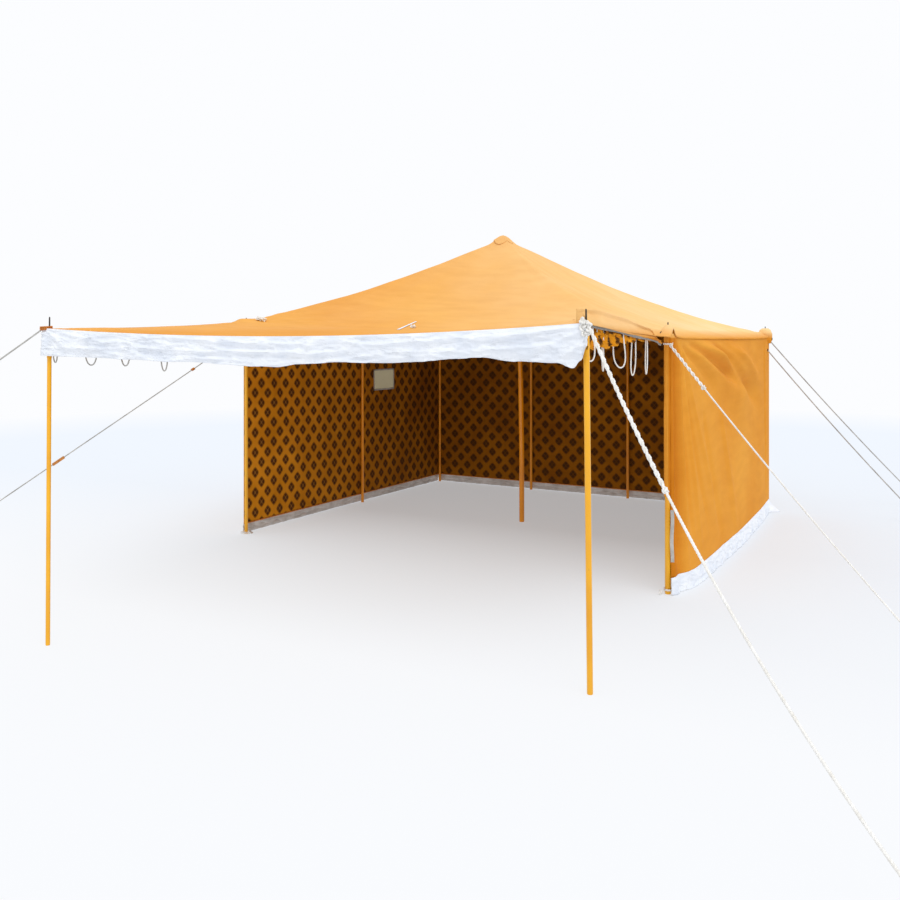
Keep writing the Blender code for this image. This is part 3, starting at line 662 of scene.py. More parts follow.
# %% The canopy's values
WIDTH = 4.00
DEPTH = 3.58
APEX = Vector((-0.163, -0.093, 2.845))
CORNER = {
    "front_left": Vector((-WIDTH / 2, -DEPTH / 2, 2.015)),
    "front_right": Vector((WIDTH / 2, -DEPTH / 2, 1.93)),
    "back_right": Vector((WIDTH / 2, DEPTH / 2, 1.93)),
    "back_left": Vector((-WIDTH / 2, DEPTH / 2, 1.95)),
}
CORNER_PEAK = {"front_left": 0.03, "front_right": 0.085, "back_right": 0.09, "back_left": 0.09}
PEAK_REACH = 0.06
EAVE_SAG = {"front": 0.012, "right": 0.01, "back": 0.012, "left": 0.01}
HIP_SAG = {"front_left": 0.30, "front_right": 0.62, "back_right": 0.42, "back_left": 0.42}
SLOPE_SAG = {"front": 0.58, "right": 0.56, "back": 0.50, "left": 0.45}
EAVE_OVERHANG = 0.040
EDGE_PEAK_SHARE = 0.3
PIN_REACH = 0.030
FRONT_LEFT_REACH = 0.13
PIN_FLAT = 0.022
PEAK_ROUNDED = 0.05
PEAK_START = 0.01
SIDES = {
    "front": ("front_left", "front_right"),
    "right": ("front_right", "back_right"),
    "back": ("back_right", "back_left"),
    "left": ("back_left", "front_left"),
}
AWNING_LEFT_FOOT = Vector((-0.904, -4.702, 0))
AWNING_LEFT_TOP = Vector((-1.130, -4.524, 1.895))
AWNING_RIGHT_FOOT = Vector((2.178, -3.796, 0))
AWNING_RIGHT_TOP = Vector((2.161, -3.806, 1.912))
AWNING_SAG = {"front": 0.060, "left": 0.015, "right": 0.010}
AWNING_SIDE_OVERHANG = 0.015
AWNING_FRONT_OVERHANG = 0.040
ROLL_HEIGHT = 0.088
ROLL_LOSS = 0.045
ROLL_ACROSS = (0.45, 0.935, 0.99)
ROLL_FRONT = (0.945, 0.988, 1.0)
ROLL_NARROWS = 0.5
ROLL_FRONT_SHARE = 0.5
ROLL_FADES = (0.08, 0.25)


# %% The roof's surface
def level(start, end, sag, share):
    """The height along an edge that sags between its ends."""
    return start + (end - start) * share - 4 * sag * share * (1 - share)


def outer_corner(name):
    """The corner of the roof's edge that hangs over a corner pole."""
    place = CORNER[name].copy()
    place.x += math.copysign(EAVE_OVERHANG, place.x)
    if name.startswith("back"):
        place.y += EAVE_OVERHANG
    return place


def eave_level(side, share):
    """The height of the roof's edge away from its poles."""
    start, end = (CORNER[name].z - CORNER_PEAK[name] for name in SIDES[side])
    return level(start, end, EAVE_SAG[side], share)


def eave_point(side, share):
    """A point of the roof's edge, which peaks at the poles on its two ends."""
    first, second = SIDES[side]
    start, end = outer_corner(first), outer_corner(second)
    place = start.lerp(end, share)
    length = (end - start).length
    place.z = eave_level(side, share)
    for name, away in ((first, share * length), (second, (1 - share) * length)):
        beyond = max(0.0, away - PEAK_REACH / 2)
        place.z += EDGE_PEAK_SHARE * CORNER_PEAK[name] * math.exp(-beyond / PEAK_REACH)
    return place


def pinned(place, poles):
    """Bring a point up to the level of any pole's top that it is close to."""
    for pole in poles:
        away = max(0.0, math.hypot(place.x - pole.x, place.y - pole.y) - PIN_FLAT)
        reach = FRONT_LEFT_REACH if pole == CORNER["front_left"] else PIN_REACH
        place.z += (pole.z - place.z) * hill(away, reach)
    return place


def roof_point(side, share, reach):
    """A point of the roof, from the apex at reach 0 to the edge at reach 1."""
    place = APEX.lerp(eave_point(side, share), reach)
    first, second = SIDES[side]
    hips = HIP_SAG[first] + (HIP_SAG[second] - HIP_SAG[first]) * share
    middle = SLOPE_SAG[side] - (HIP_SAG[first] + HIP_SAG[second]) / 2
    place.z -= (hips + middle * 4 * share * (1 - share)) * reach * (1 - reach)
    place.z = APEX.z - (APEX.z - place.z) * eased((reach + PEAK_START) / PEAK_ROUNDED)
    return pinned(place, (CORNER[first], CORNER[second]))


# %% The awning's surface
ALONG_FRONT = (AWNING_RIGHT_TOP - AWNING_LEFT_TOP).normalized()
ALONG_FRONT.z = 0
FORWARD = Vector((ALONG_FRONT.y, -ALONG_FRONT.x, 0)).normalized()


def awning_corner(top, towards_x):
    """The corner of the awning that hangs over its pole."""
    place = top + ALONG_FRONT * towards_x * AWNING_SIDE_OVERHANG + FORWARD * AWNING_FRONT_OVERHANG
    place.z = top.z
    return place


AWNING_LEFT = awning_corner(AWNING_LEFT_TOP, -1)
AWNING_RIGHT = awning_corner(AWNING_RIGHT_TOP, 1)
FRONT_LENGTH = (AWNING_RIGHT - AWNING_LEFT).length


def awning_front(share):
    """A point of the awning's front edge, from its left end to its right end."""
    place = AWNING_LEFT.lerp(AWNING_RIGHT, share)
    place.z = level(AWNING_LEFT.z, AWNING_RIGHT.z, AWNING_SAG["front"], share)
    return place


def roll_height(share, reach):
    """How far the roll along the awning's right edge lifts the canvas."""
    along = eased((1 - reach) / ROLL_FADES[0]) * eased(reach / ROLL_FADES[1])
    narrow = eased((reach - ROLL_NARROWS) / (1 - ROLL_NARROWS))
    begins, crest, ends = (a + (b - a) * narrow for a, b in zip(ROLL_ACROSS, ROLL_FRONT))
    across = eased((share - begins) / (crest - begins)) * eased((ends - share) / (ends - crest))
    height = (ROLL_HEIGHT - ROLL_LOSS * (1 - reach)) * (1 - (1 - ROLL_FRONT_SHARE) * narrow)
    return height * along * across


def awning_point(share, reach):
    """A point of the awning, from the roof's edge at reach 0 to the awning's front edge at reach 1."""
    back, front = eave_point("front", share), awning_front(share)
    place = back.lerp(front, reach)
    back_level = eave_level("front", share)
    side_sag = AWNING_SAG["left"] * (1 - share) + AWNING_SAG["right"] * share
    place.z = level(back_level, front.z, side_sag, reach) + roll_height(share, reach)
    place.z += (back.z - back_level) * hill(reach * (front - back).length, PEAK_REACH)
    poles = (CORNER["front_left"], CORNER["front_right"], AWNING_LEFT_TOP, AWNING_RIGHT_TOP)
    return pinned(place, poles)


# %% [markdown]
# ## Wrinkles
# Tight canvas wrinkles in long streaks that fan out from where it is held. Noise that is read by direction
# and distance from a corner makes such a fan: it changes fast from one direction to the next and slowly
# outwards. Slack cloth crumples instead, in short creases, for which ridged noise is better.

# %% Wrinkles
def fan(point, middle, spread, reach, seed):
    """A fan of streaks round a middle, from -1 to 1, fading with distance."""
    away = point - middle
    turn = math.atan2(away.y, away.x)
    streak = noise.noise(Vector((turn * spread, away.length * 0.9, seed)))
    return streak * math.exp(-away.length / reach) * eased(away.length / 0.15)


def creases(along, down, stretch, seed):
    """Sharp folds with soft sides, from 0 to 1, on a cloth read by metres along and down."""
    place = Vector((along * stretch[0], down * stretch[1], seed))
    place += 0.35 * Vector((noise.noise(place * 0.7), noise.noise(place * 0.7 + Vector((9, 4, 2))), 0))
    total, size = 0.0, 1.0
    for _ in range(3):
        total += size * (1 - abs(noise.noise(place))) ** 3
        place = place * 2.1 + Vector((3.7, 1.3, 5.1))
        size *= 0.45
    return total / 1.65


def folded(folds, along, height):
    """The sum of long folds, each a line from one place to another with a width and a height."""
    lift = 0.0
    for (x0, z0), (x1, z1), width, rise in folds:
        run = Vector((x1 - x0, z1 - z0))
        share = ((along - x0) * run.x + (height - z0) * run.y) / run.length_squared
        off = ((along - x0) * run.y - (height - z0) * run.x) / run.length
        fade = eased((share + 0.12) / 0.24) * eased((1.15 - share) / 0.45)
        lift += rise * fade * hill(off, width * (0.5 + 0.7 * max(0.0, min(1.0, share))))
    return lift


LEVEL = Vector((1, 1, 0))
# Each fan of wrinkles: its middle, how close its streaks are, how far it reaches, its height and its seed
FANS = (
    (CORNER["front_left"], 26, 1.3, 0.009, 0),
    (CORNER["front_right"], 20, 1.3, 0.009, 1),
    (CORNER["back_right"], 20, 1.3, 0.009, 2),
    (CORNER["back_left"], 20, 1.3, 0.009, 3),
    (AWNING_LEFT_TOP, 30, 1.2, 0.009, 7),
    (AWNING_RIGHT_TOP, 30, 1.2, 0.009, 8),
    (APEX, 14, 1.5, 0.010, 12),
)
WAVE_HEIGHT = 0.007


def canopy_wrinkle(point):
    """How far the canopy's canvas lifts from its smooth shape."""
    flat = point * LEVEL
    lift = 0.0
    for middle, spread, reach, height, seed in FANS:
        lift += height * fan(flat, middle * LEVEL, spread, reach, seed)
    return lift + WAVE_HEIGHT * noise.fractal(flat * 1.6, 1.0, 2.0, 3)


# %% [markdown]
# ## The canopy
# The roof is built as a lattice whose rings have one more point on each side than the ring inside them, so
# the triangles stay even from the apex out. The awning goes on from the roof's front edge with the same
# points. Then the sheet is smoothed a little, wrinkled, hemmed by extruding its free edge downwards, and
# given its thickness, with the printed lining on the inner side.

# %% Canopy
RINGS = 104
AWNING_ROWS = 84
CLOTH = 0.004
HEM = 0.012
AWNING_HEM = 0.006
CANOPY_CUT = (4.3, 7.4)
SMOOTHINGS = 6
SMOOTHED_FROM = 0.12
WRINKLED_FROM = 0.2
EDGE_WRINKLES = 0.2


def warped(share):
    """Shares that crowd towards both ends, where the edge bends most."""
    return share - 0.5 * math.sin(math.tau * share) / math.tau


def canopy_points():
    """The canopy's points, the faces between them, and each point's place on the flat cloth."""
    points, index = [APEX.copy()], {}
    for ring in range(1, RINGS + 1):
        for side in SIDES:
            for k in range(ring):
                index[ring, side, k] = len(points)
                points.append(roof_point(side, warped(k / ring), ring / RINGS))
    sides = list(SIDES)
    for n, side in enumerate(sides):
        index[0, side, 0] = 0
        for ring in range(1, RINGS + 1):
            index[ring, side, ring] = index[ring, sides[(n + 1) % 4], 0]
    faces = []
    for side in SIDES:
        for ring in range(RINGS):
            for k in range(ring + 1):
                low, high = index[ring + 1, side, k], index[ring + 1, side, k + 1]
                faces.append((low, high, index[ring, side, k]))
                if k < ring:
                    faces.append((index[ring, side, k], high, index[ring, side, k + 1]))
    last = [index[RINGS, "front", k] for k in range(RINGS + 1)]
    for row in range(1, AWNING_ROWS + 1):
        this = []
        for k in range(RINGS + 1):
            this.append(len(points))
            points.append(awning_point(warped(k / RINGS), row / AWNING_ROWS))
        for k in range(RINGS):
            faces.append((this[k], this[k + 1], last[k + 1], last[k]))
        last = this
    return points, faces, [(p.x, p.y) for p in points]


def near_a_pole(point):
    """How far a point is from the nearest pole, on the plan."""
    poles = [*CORNER.values(), AWNING_LEFT_TOP, AWNING_RIGHT_TOP, APEX]
    return min(math.hypot(point.x - p.x, point.y - p.y) for p in poles)


def make_canopy():
    """The one sheet of the roof and the awning, smoothed, wrinkled and hemmed."""
    points, faces, uvs = canopy_points()
    piece = mesh_piece("canopy", points, faces, [canvas, lining], uvs)
    shape = bmesh.new()
    shape.from_mesh(piece.data)
    soft = [v for v in shape.verts if not v.is_boundary and near_a_pole(v.co) > SMOOTHED_FROM]
    for _ in range(SMOOTHINGS):
        bmesh.ops.smooth_vert(shape, verts=soft, factor=0.5, use_axis_z=True)
    for vertex in shape.verts:
        hold = eased(near_a_pole(vertex.co) / WRINKLED_FROM) * (EDGE_WRINKLES if vertex.is_boundary else 1.0)
        vertex.co.z += canopy_wrinkle(vertex.co) * hold
    edge = [e for e in shape.edges if e.is_boundary]
    hem = bmesh.ops.extrude_edge_only(shape, edges=edge)["geom"]
    for vertex in hem:
        if isinstance(vertex, bmesh.types.BMVert):
            vertex.co.z -= AWNING_HEM if vertex.co.y < -DEPTH / 2 - 0.1 else HEM
    shape.to_mesh(piece.data)
    shape.free()
    nodes = ("roof_canopy", "awning_sheet")
    return make_sheet(piece, CLOTH, "canvas", nodes, CANOPY_CUT, "stretched", ["centre_pole"])


canopy = make_canopy()
canopy_tree = BVHTree.FromObject(canopy, bpy.context.evaluated_depsgraph_get())


def on_canopy(x, y, lift=0.0):
    """The point on top of the canopy above a place on the plan."""
    return canopy_tree.ray_cast(Vector((x, y, 5)), -UP)[0] + UP * lift


def seen_on_canopy(u, v, lift=0.0):
    """The point of the canopy that the photograph shows at a pixel, a little off its surface."""
    aim = CAMERA_LOOKS + CAMERA_RIGHT * ((u - MIDDLE_PIXEL) / PIXELS_PER_METRE)
    aim -= UP * ((v - HORIZON_PIXEL) / PIXELS_PER_METRE)
    hit, normal = canopy_tree.ray_cast(CAMERA_PLACE, aim.normalized())[:2]
    return hit + normal * lift


# %% [markdown]
# ## The apex patch
# Where the centre pole pushes into the roof, a round patch of the same canvas is sewn over the peak. Its
# stitching has let go on the front left, so that edge stands up a little and shades the roof below it.

# %% Apex patch
PATCH_RADIUS = 0.098
PATCH_LIFT = 0.005
PATCH_CURL = 0.013
PATCH_CURL_TURN = math.radians(240)
PATCH_RINGS = 14
PATCH_POINTS = 72
PATCH_PEAK = 0.010
PATCH_DOME = 0.008
PATCH_CUT = (0.28, 0.28)


def make_patch():
    """A slightly wavy round of canvas that lies on the peak, with its front left edge curled up."""
    points = [on_canopy(APEX.x, APEX.y, PATCH_LIFT + PATCH_PEAK)]
    for ring in range(1, PATCH_RINGS + 1):
        reach = ring / PATCH_RINGS
        for k in range(PATCH_POINTS):
            turn = math.tau * k / PATCH_POINTS
            radius = PATCH_RADIUS * reach * (1 + 0.05 * math.cos(4 * turn) + 0.04 * math.sin(3 * turn + 1))
            place = on_canopy(APEX.x + radius * math.cos(turn), APEX.y + radius * math.sin(turn), PATCH_LIFT)
            curl = hill(math.remainder(turn - PATCH_CURL_TURN, math.tau), 0.6) * reach**4
            place.z += PATCH_CURL * curl + PATCH_DOME * (1 - reach**2) + 0.001 * math.sin(9 * turn) * reach**2
            points.append(place)
    faces = []
    for k in range(PATCH_POINTS):
        n = (k + 1) % PATCH_POINTS
        faces.append((0, 1 + k, 1 + n))
        for ring in range(PATCH_RINGS - 1):
            low, high = 1 + ring * PATCH_POINTS, 1 + (ring + 1) * PATCH_POINTS
            faces.append((low + k, high + k, high + n, low + n))
    piece = mesh_piece("apex_patch", points, faces, [canvas], [(p.x, p.y) for p in points])
    return make_sheet(piece, CLOTH, "canvas", ("roof_cap",), PATCH_CUT, "stretched", ["canopy"])


make_patch()

# %% [markdown]
# ## The walls
# Each wall hangs from the roof's edge, canvas outside and lining inside, and is cut straight. The left and
# back walls hang nearly flat. The right wall has slack at its front: its foot is pulled out, and long folds
# run down from the front corner. They are given as soft ridges and valleys along lines.

# %% Walls
WALL_OFFSET = 0.032
SKIRT_HEIGHT = 0.120
SKIRT_TOP = {"right": 0.120, "back": 0.092, "left": 0.092}
FRONT_HEM_SPOT = (2.026, -1.806)
RIGHT_WALL_BULGE = 0.085
BULGE_DROP_POWER = 1.3
BULGE_SHARE_POWER = 3
VENT_Y = (0.350, 0.756)
VENT_Z = (1.240, 1.467)
OUTWARD = {"right": Vector((1, 0, 0)), "back": Vector((0, 1, 0)), "left": Vector((-1, 0, 0))}
WALL_LENGTH = {"right": DEPTH + EAVE_OVERHANG, "back": WIDTH + 2 * WALL_OFFSET, "left": DEPTH + EAVE_OVERHANG}
WALL_STEP = {"right": 0.014, "back": 0.022, "left": 0.022}
WALL_DROP = 1.75
WALL_CUT_HEIGHT = 1.95
WALL_HEM_COLUMNS = 4
HELD_AT_POLE = 0.25
HELD_REACH = 0.10
WALL_UNEVEN = 0.006
# How far from its top edge and from its ends a wall's folds are free
FREE_BELOW = 0.15
FREE_ALONG = 0.05
# Each fold runs from one place to another, as metres along the wall and above the ground, and has a width
# and how far it stands out
WALL_FOLDS = {
    "right": (
        ((0.05, 1.84), (0.09, 0.15), 0.032, -0.060),
        ((0.11, 1.84), (0.20, 0.15), 0.030, 0.030),
        ((0.14, 1.84), (0.34, 0.30), 0.030, -0.028),
        ((0.17, 1.84), (0.52, 0.30), 0.035, 0.024),
        ((0.19, 1.84), (0.75, 0.40), 0.040, -0.022),
        ((0.22, 1.84), (1.00, 0.50), 0.045, 0.016),
        ((0.12, 1.84), (1.10, 1.45), 0.045, -0.030),
        ((0.55, 1.80), (2.60, 1.36), 0.300, 0.064),
        ((0.35, 1.83), (2.05, 1.42), 0.055, -0.068),
        ((0.60, 1.86), (2.30, 1.47), 0.060, 0.040),
        ((1.10, 1.81), (2.95, 1.22), 0.070, -0.070),
        ((1.45, 1.87), (3.10, 1.40), 0.070, 0.040),
        ((0.80, 1.20), (1.20, 0.15), 0.070, -0.018),
        ((1.35, 1.25), (1.75, 0.15), 0.080, 0.016),
        ((3.36, 1.80), (3.40, 0.20), 0.030, -0.020),
    ),
    "back": (
        ((0.10, 1.80), (0.80, 0.30), 0.08, -0.010),
        ((3.90, 1.80), (3.10, 0.30), 0.08, -0.010),
        ((1.20, 1.80), (1.30, 0.20), 0.10, 0.008),
        ((2.70, 1.80), (2.60, 0.20), 0.10, 0.008),
    ),
    "left": (
        ((0.10, 1.80), (0.90, 0.30), 0.08, -0.010),
        ((3.50, 1.90), (2.70, 0.30), 0.08, -0.010),
        ((1.80, 1.90), (1.90, 0.20), 0.10, 0.008),
    ),
}


def wall_spot(side, share, height):
    """Where a wall's outer face stands at a share of its length and at a height."""
    top = eave_point(side, share)
    outward = OUTWARD[side]
    side_line = WIDTH / 2 + WALL_OFFSET
    if side == "back":
        place = Vector((max(-side_line, min(side_line, top.x)), DEPTH / 2 + WALL_OFFSET, height))
    else:
        place = Vector((outward.x * side_line, top.y, height))
    if side == "right":
        drop = max(0.0, 1 - (height - SKIRT_HEIGHT) / (top.z - SKIRT_HEIGHT))
        held = HELD_AT_POLE + (1 - HELD_AT_POLE) * eased(share / HELD_REACH)
        place += outward * RIGHT_WALL_BULGE * held * drop**BULGE_DROP_POWER * (1 - share**BULGE_SHARE_POWER)
    length = WALL_LENGTH[side]
    along = share * length
    free = eased(along / FREE_ALONG) * eased((length - along) / FREE_ALONG)
    free *= eased((top.z - height) / FREE_BELOW)
    lift = folded(WALL_FOLDS[side], along, height)
    lift += WALL_UNEVEN * noise.noise(Vector((along * 1.3, height, 7)))
    return place + outward * lift * free


def reaching_front(rows, front, count):
    """Rows that start earlier, at a place on the plan where the hem of the front right pole is."""
    longer = []
    for row in rows:
        start = Vector((*front, row[0].z))
        longer.append([start.lerp(row[0], k / count) for k in range(count)] + row)
    return longer


def make_wall(side):
    """A wall from the roof's edge down to its skirt. The right one's front edge goes on to the pole's hem."""

    def spot(down, share):
        top = eave_point(side, share).z - CLOTH
        return wall_spot(side, share, top + (SKIRT_TOP[side] - top) * down)

    length, step = WALL_LENGTH[side], WALL_STEP[side]
    rows = grid_rows(round(WALL_DROP / step), round(length / step), spot)
    if side == "right":
        rows = reaching_front(rows, FRONT_HEM_SPOT, WALL_HEM_COLUMNS)
    piece = grid_piece(side + "_wall_cloth", rows, [canvas, lining])
    if side == "left":
        cut_vent(piece)
    cut = (length, WALL_CUT_HEIGHT)
    return make_sheet(piece, CLOTH, "canvas", (side + "_wall",), cut, "hung", ["canopy"])


def cut_vent(piece):
    """Open the wall where the vent is: cut along the four sides, then delete what is inside."""
    shape = bmesh.new()
    shape.from_mesh(piece.data)
    for axis, values in ((1, VENT_Y), (2, VENT_Z)):
        for value in values:
            place, normal = Vector((0, 0, 0)), Vector((0, 0, 0))
            place[axis], normal[axis] = value, 1
            geometry = shape.verts[:] + shape.edges[:] + shape.faces[:]
            bmesh.ops.bisect_plane(shape, geom=geometry, plane_co=place, plane_no=normal, dist=0.0001)
    inside = []
    for face in shape.faces:
        middle = face.calc_center_median()
        if VENT_Y[0] < middle.y < VENT_Y[1] and VENT_Z[0] < middle.z < VENT_Z[1]:
            inside.append(face)
    bmesh.ops.delete(shape, geom=inside, context="FACES")
    shape.to_mesh(piece.data)
    shape.free()


for side in OUTWARD:
    make_wall(side)

# %% [markdown]
# ### Sweeping a section along a line
# Ropes, straps and hems are all one section swept along a line, so one function makes them. A rope's section
# turns as it goes along. A strap's section keeps one face towards a given direction.

# %% Sweeping
def resampled(places, step):
    """Points evenly spaced along a line of places."""
    runs = [0.0]
    for a, b in zip(places, places[1:]):
        runs.append(runs[-1] + (b - a).length)
    count = max(2, round(runs[-1] / step))
    line, n = [], 0
    for k in range(count + 1):
        at = runs[-1] * k / count
        while n < len(places) - 2 and runs[n + 1] < at:
            n += 1
        line.append(places[n].lerp(places[n + 1], (at - runs[n]) / max(runs[n + 1] - runs[n], 1e-9)))
    return line


def smooth_points(route, steps):
    """Points evenly along a smooth curve that passes through each of the route's own points."""
    points = []
    for k in range(steps + 1):
        place = k / steps * (len(route) - 1)
        n = min(int(place), len(route) - 2)
        t = place - n
        a, b, c, d = (Vector(route[min(max(n + i, 0), len(route) - 1)]) for i in (-1, 0, 1, 2))
        curved = 2 * b + (c - a) * t + (2 * a - 5 * b + 4 * c - d) * t**2 + (3 * b - a - 3 * c + d) * t**3
        points.append(curved / 2)
    return points


def frames(line, up=None):
    """The number and place of each point of a line, and two directions across the line there. They turn as
    little as they can from one point to the next, or keep to up."""
    side = None
    for n, place in enumerate(line):
        ahead = (line[min(n + 1, len(line) - 1)] - line[max(n - 1, 0)]).normalized()
        if up is not None:
            side = up.cross(ahead)
        elif side is None:
            side = ahead.orthogonal()
        side = (side - ahead * side.dot(ahead)).normalized()
        yield n, place, side, ahead.cross(side)


def swept(shape, line, section, turn=0.0, up=None):
    """Add a closed section along a line to a shape's points and faces. The section turns a little at each
    step, or keeps its second direction towards up."""
    points, faces = shape
    base, count = len(points), len(section)
    for n, place, side, over in frames(line, up):
        c, s = math.cos(turn * n), math.sin(turn * n)
        points += [place + side * (a * c - b * s) + over * (a * s + b * c) for a, b in section]
        if n:
            for k in range(count):
                low, high = base + (n - 1) * count, base + n * count
                faces.append((low + k, low + (k + 1) % count, high + (k + 1) % count, high + k))
    faces.append(tuple(base + k for k in reversed(range(count))))
    faces.append(tuple(base + (len(line) - 1) * count + k for k in range(count)))


def strap_section(width, thickness):
    """A flat strap's section with its edges rounded by two points each."""
    w, t = width / 2, thickness / 2
    half = [(w - t, -t), (w, -t / 2), (w, t / 2), (w - t, t)]
    return half + [(-a, -b) for a, b in half]


STRAP = 0.003


def make_strap(name, places, width, material, slot, up, thickness=STRAP):
    """A flat strap along the places."""
    shape = ([], [])
    swept(shape, resampled(places, width / 3), strap_section(width, thickness), up=up)
    return place_piece(mesh_piece(name, *shape, [material]), slot)


def free_strap(name, places, width, material, slot, up, held, rests_on):
    """A strap that hangs or lies free, with the size that it was cut to."""
    piece = make_strap(name, places, width, material, slot, up)
    length = round(length_of(places), 3)
    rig.sheet(piece, flat=(width, length), held=held, rests_on=rests_on)
    print(name, length, "m long")


# %% [markdown]
# ### The vent window
# A rectangle of net fills the opening, sewn in behind a frame of grey tape, whose four strips lap over each
# other at the corners.

# %% Vent
VENT_FRAME = 0.018
VENT_FRAME_PROUD = 0.006
NET_ROWS = 23
NET_COLUMNS = 39
NET_LAP = 0.004
NET_BELLY = 0.008
NET_UNEVEN = 0.0015
NET_THICKNESS = 0.001
NET_X = -(WIDTH / 2 + WALL_OFFSET) + NET_THICKNESS
NET_CUT = (0.42, 0.24)


def net_spot(down, share):
    """A point of the net, which bellies inward a little."""
    z = VENT_Z[1] + NET_LAP - (VENT_Z[1] - VENT_Z[0] + 2 * NET_LAP) * down
    y = VENT_Y[1] + NET_LAP - (VENT_Y[1] - VENT_Y[0] + 2 * NET_LAP) * share
    belly = NET_BELLY * math.sin(math.pi * down) * math.sin(math.pi * share)
    return Vector((NET_X - belly + NET_UNEVEN * noise.noise(Vector((y * 20, z * 20, 0))), y, z))


def make_vent():
    """The net and the four tapes round it."""
    piece = grid_piece("vent_net", grid_rows(NET_ROWS, NET_COLUMNS, net_spot), [net])
    nodes = ("left_vent_window",)
    make_sheet(piece, NET_THICKNESS, "vent_mesh", nodes, NET_CUT, "stretched", ["left_wall_cloth"])
    (low_y, high_y), (low_z, high_z) = VENT_Y, VENT_Z
    corners = ((low_y, low_z), (high_y, low_z), (high_y, high_z), (low_y, high_z))
    inner = [Vector((NET_X + VENT_FRAME_PROUD, y, z)) for y, z in corners]
    for n, (a, b) in enumerate(zip(inner, inner[1:] + inner[:1]), 1):
        ends = (b - a).normalized() * VENT_FRAME / 2
        side = [a - ends, b + ends]
        make_strap(f"vent_frame_{n}", side, VENT_FRAME, rope_grey, "canvas", Vector((1, 0, 0)))


make_vent()

# %% [markdown]
# ### The front right hem and the corner pockets
# The right wall's front edge ends in a hem that is wrapped round the front pole from waist height up. At the
# two back corners, pockets of canvas are sewn over the walls' tops, and the guys leave them through steel
# eyelets.

# %% Hem and pockets
HEM_RADIUS = 0.028
HEM_HEIGHTS = (0.70, 1.86)
POCKET_RADIUS = 0.070
POCKET_HEIGHTS = (1.775, 1.935)
# How much of its radius a sleeve has, at shares of its height from the top
STRAIGHT = ((0.0, 1.0), (1.0, 1.0))
POCKET_SHAPE = ((0.0, 0.45), (0.12, 0.80), (0.40, 1.0), (0.75, 1.0), (1.0, 0.78))
SLEEVE_POINTS = 40
THIN_CLOTH = 0.003
# How much more cloth than its size a sleeve takes, round and along
SLEEVE_WIDER = 1.05
SLEEVE_LONGER = 1.03


def round_cloth(name, middle, heights, radius, shape, ripple, count, rests_on):
    """A sleeve of canvas round a pole, with long soft folds."""

    def spot(down, share):
        turn = math.tau * share
        z = heights[1] + (heights[0] - heights[1]) * down
        fold = ripple * noise.noise(Vector((math.cos(turn) * 2.2, math.sin(turn) * 2.2, z * 4)))
        return around(middle, (radius + fold) * between(shape, down), turn, z)

    rows = [row[:-1] for row in grid_rows(count, SLEEVE_POINTS, spot)]
    piece = grid_piece(name, rows, [canvas], closed=True)
    cut = (math.tau * radius * SLEEVE_WIDER, (heights[1] - heights[0]) * SLEEVE_LONGER)
    make_sheet(piece, THIN_CLOTH, "canvas", (), cut, "stretched", rests_on)


pole = ["front_right_pole"]
round_cloth("front_right_hem", CORNER["front_right"], HEM_HEIGHTS, HEM_RADIUS, STRAIGHT, 0.006, 90, pole)
for name in ("back_right", "back_left"):
    pole = [name + "_pole"]
    round_cloth(name + "_pocket", CORNER[name], POCKET_HEIGHTS, POCKET_RADIUS, POCKET_SHAPE, 0.008, 24, pole)


EYELET_RADIUS = 0.011
EYELET_WIRE = 0.003


def make_eyelet(name, place, facing):
    """A steel ring with its hole facing a direction."""
    bpy.ops.object.select_all(action="DESELECT")
    bpy.ops.mesh.primitive_torus_add(
        major_segments=32,
        minor_segments=10,
        major_radius=EYELET_RADIUS,
        minor_radius=EYELET_WIRE,
        location=place,
        rotation=facing.to_track_quat("Z", "Y").to_euler(),
    )
    piece = bpy.context.object
    piece.name = piece.data.name = name
    bpy.ops.object.transform_apply(location=True, rotation=True, scale=True)
    bpy.ops.object.shade_smooth()
    piece.data.materials.append(steel)
    place_piece(piece, "forged_steel")


FRONT_EYELET = Vector((1.968, -1.830, 1.870))
make_eyelet("front_right_eyelet", FRONT_EYELET, Vector((0.35, -0.94, 0.1)))
# The eyelets at the back corners: how far out and how far behind the pole each is, and its height
BACK_EYELETS = {"upper": (POCKET_RADIUS, 0.0, 1.822), "lower": (0.036, -0.05, 1.706)}
for side, way in (("left", -1), ("right", 1)):
    for spot, (out, behind, height) in BACK_EYELETS.items():
        place = Vector((way * (WIDTH / 2 + out), DEPTH / 2 + behind, height))
        make_eyelet(f"back_{side}_{spot}_eyelet", place, Vector((way, 0, 0)))

# %% [markdown]
# ## The valance and the skirts
# The front wall's mud skirt now hangs from the awning's front edge as a valance. It is white cotton,
# crumpled from lying on the ground, and its free edge hangs unevenly. The skirts of the other walls still
# stand on the ground.

# %% Valance
# The valance's depth at shares of its length
VALANCE_DEPTHS = (
    (0.000, 0.170), (0.135, 0.158), (0.338, 0.158), (0.444, 0.172), (0.481, 0.176), (0.518, 0.158),
    (0.590, 0.148), (0.695, 0.158), (0.827, 0.143), (0.890, 0.176), (0.952, 0.194), (0.979, 0.226),
    (0.990, 0.190), (1.000, 0.115),
)
VALANCE_PROUD = 0.003
VALANCE_FLARE = 0.012
VALANCE_COLUMNS = 520
VALANCE_ROWS = 28
VALANCE_CUT = (3.75, 0.22)
COTTON = 0.0025
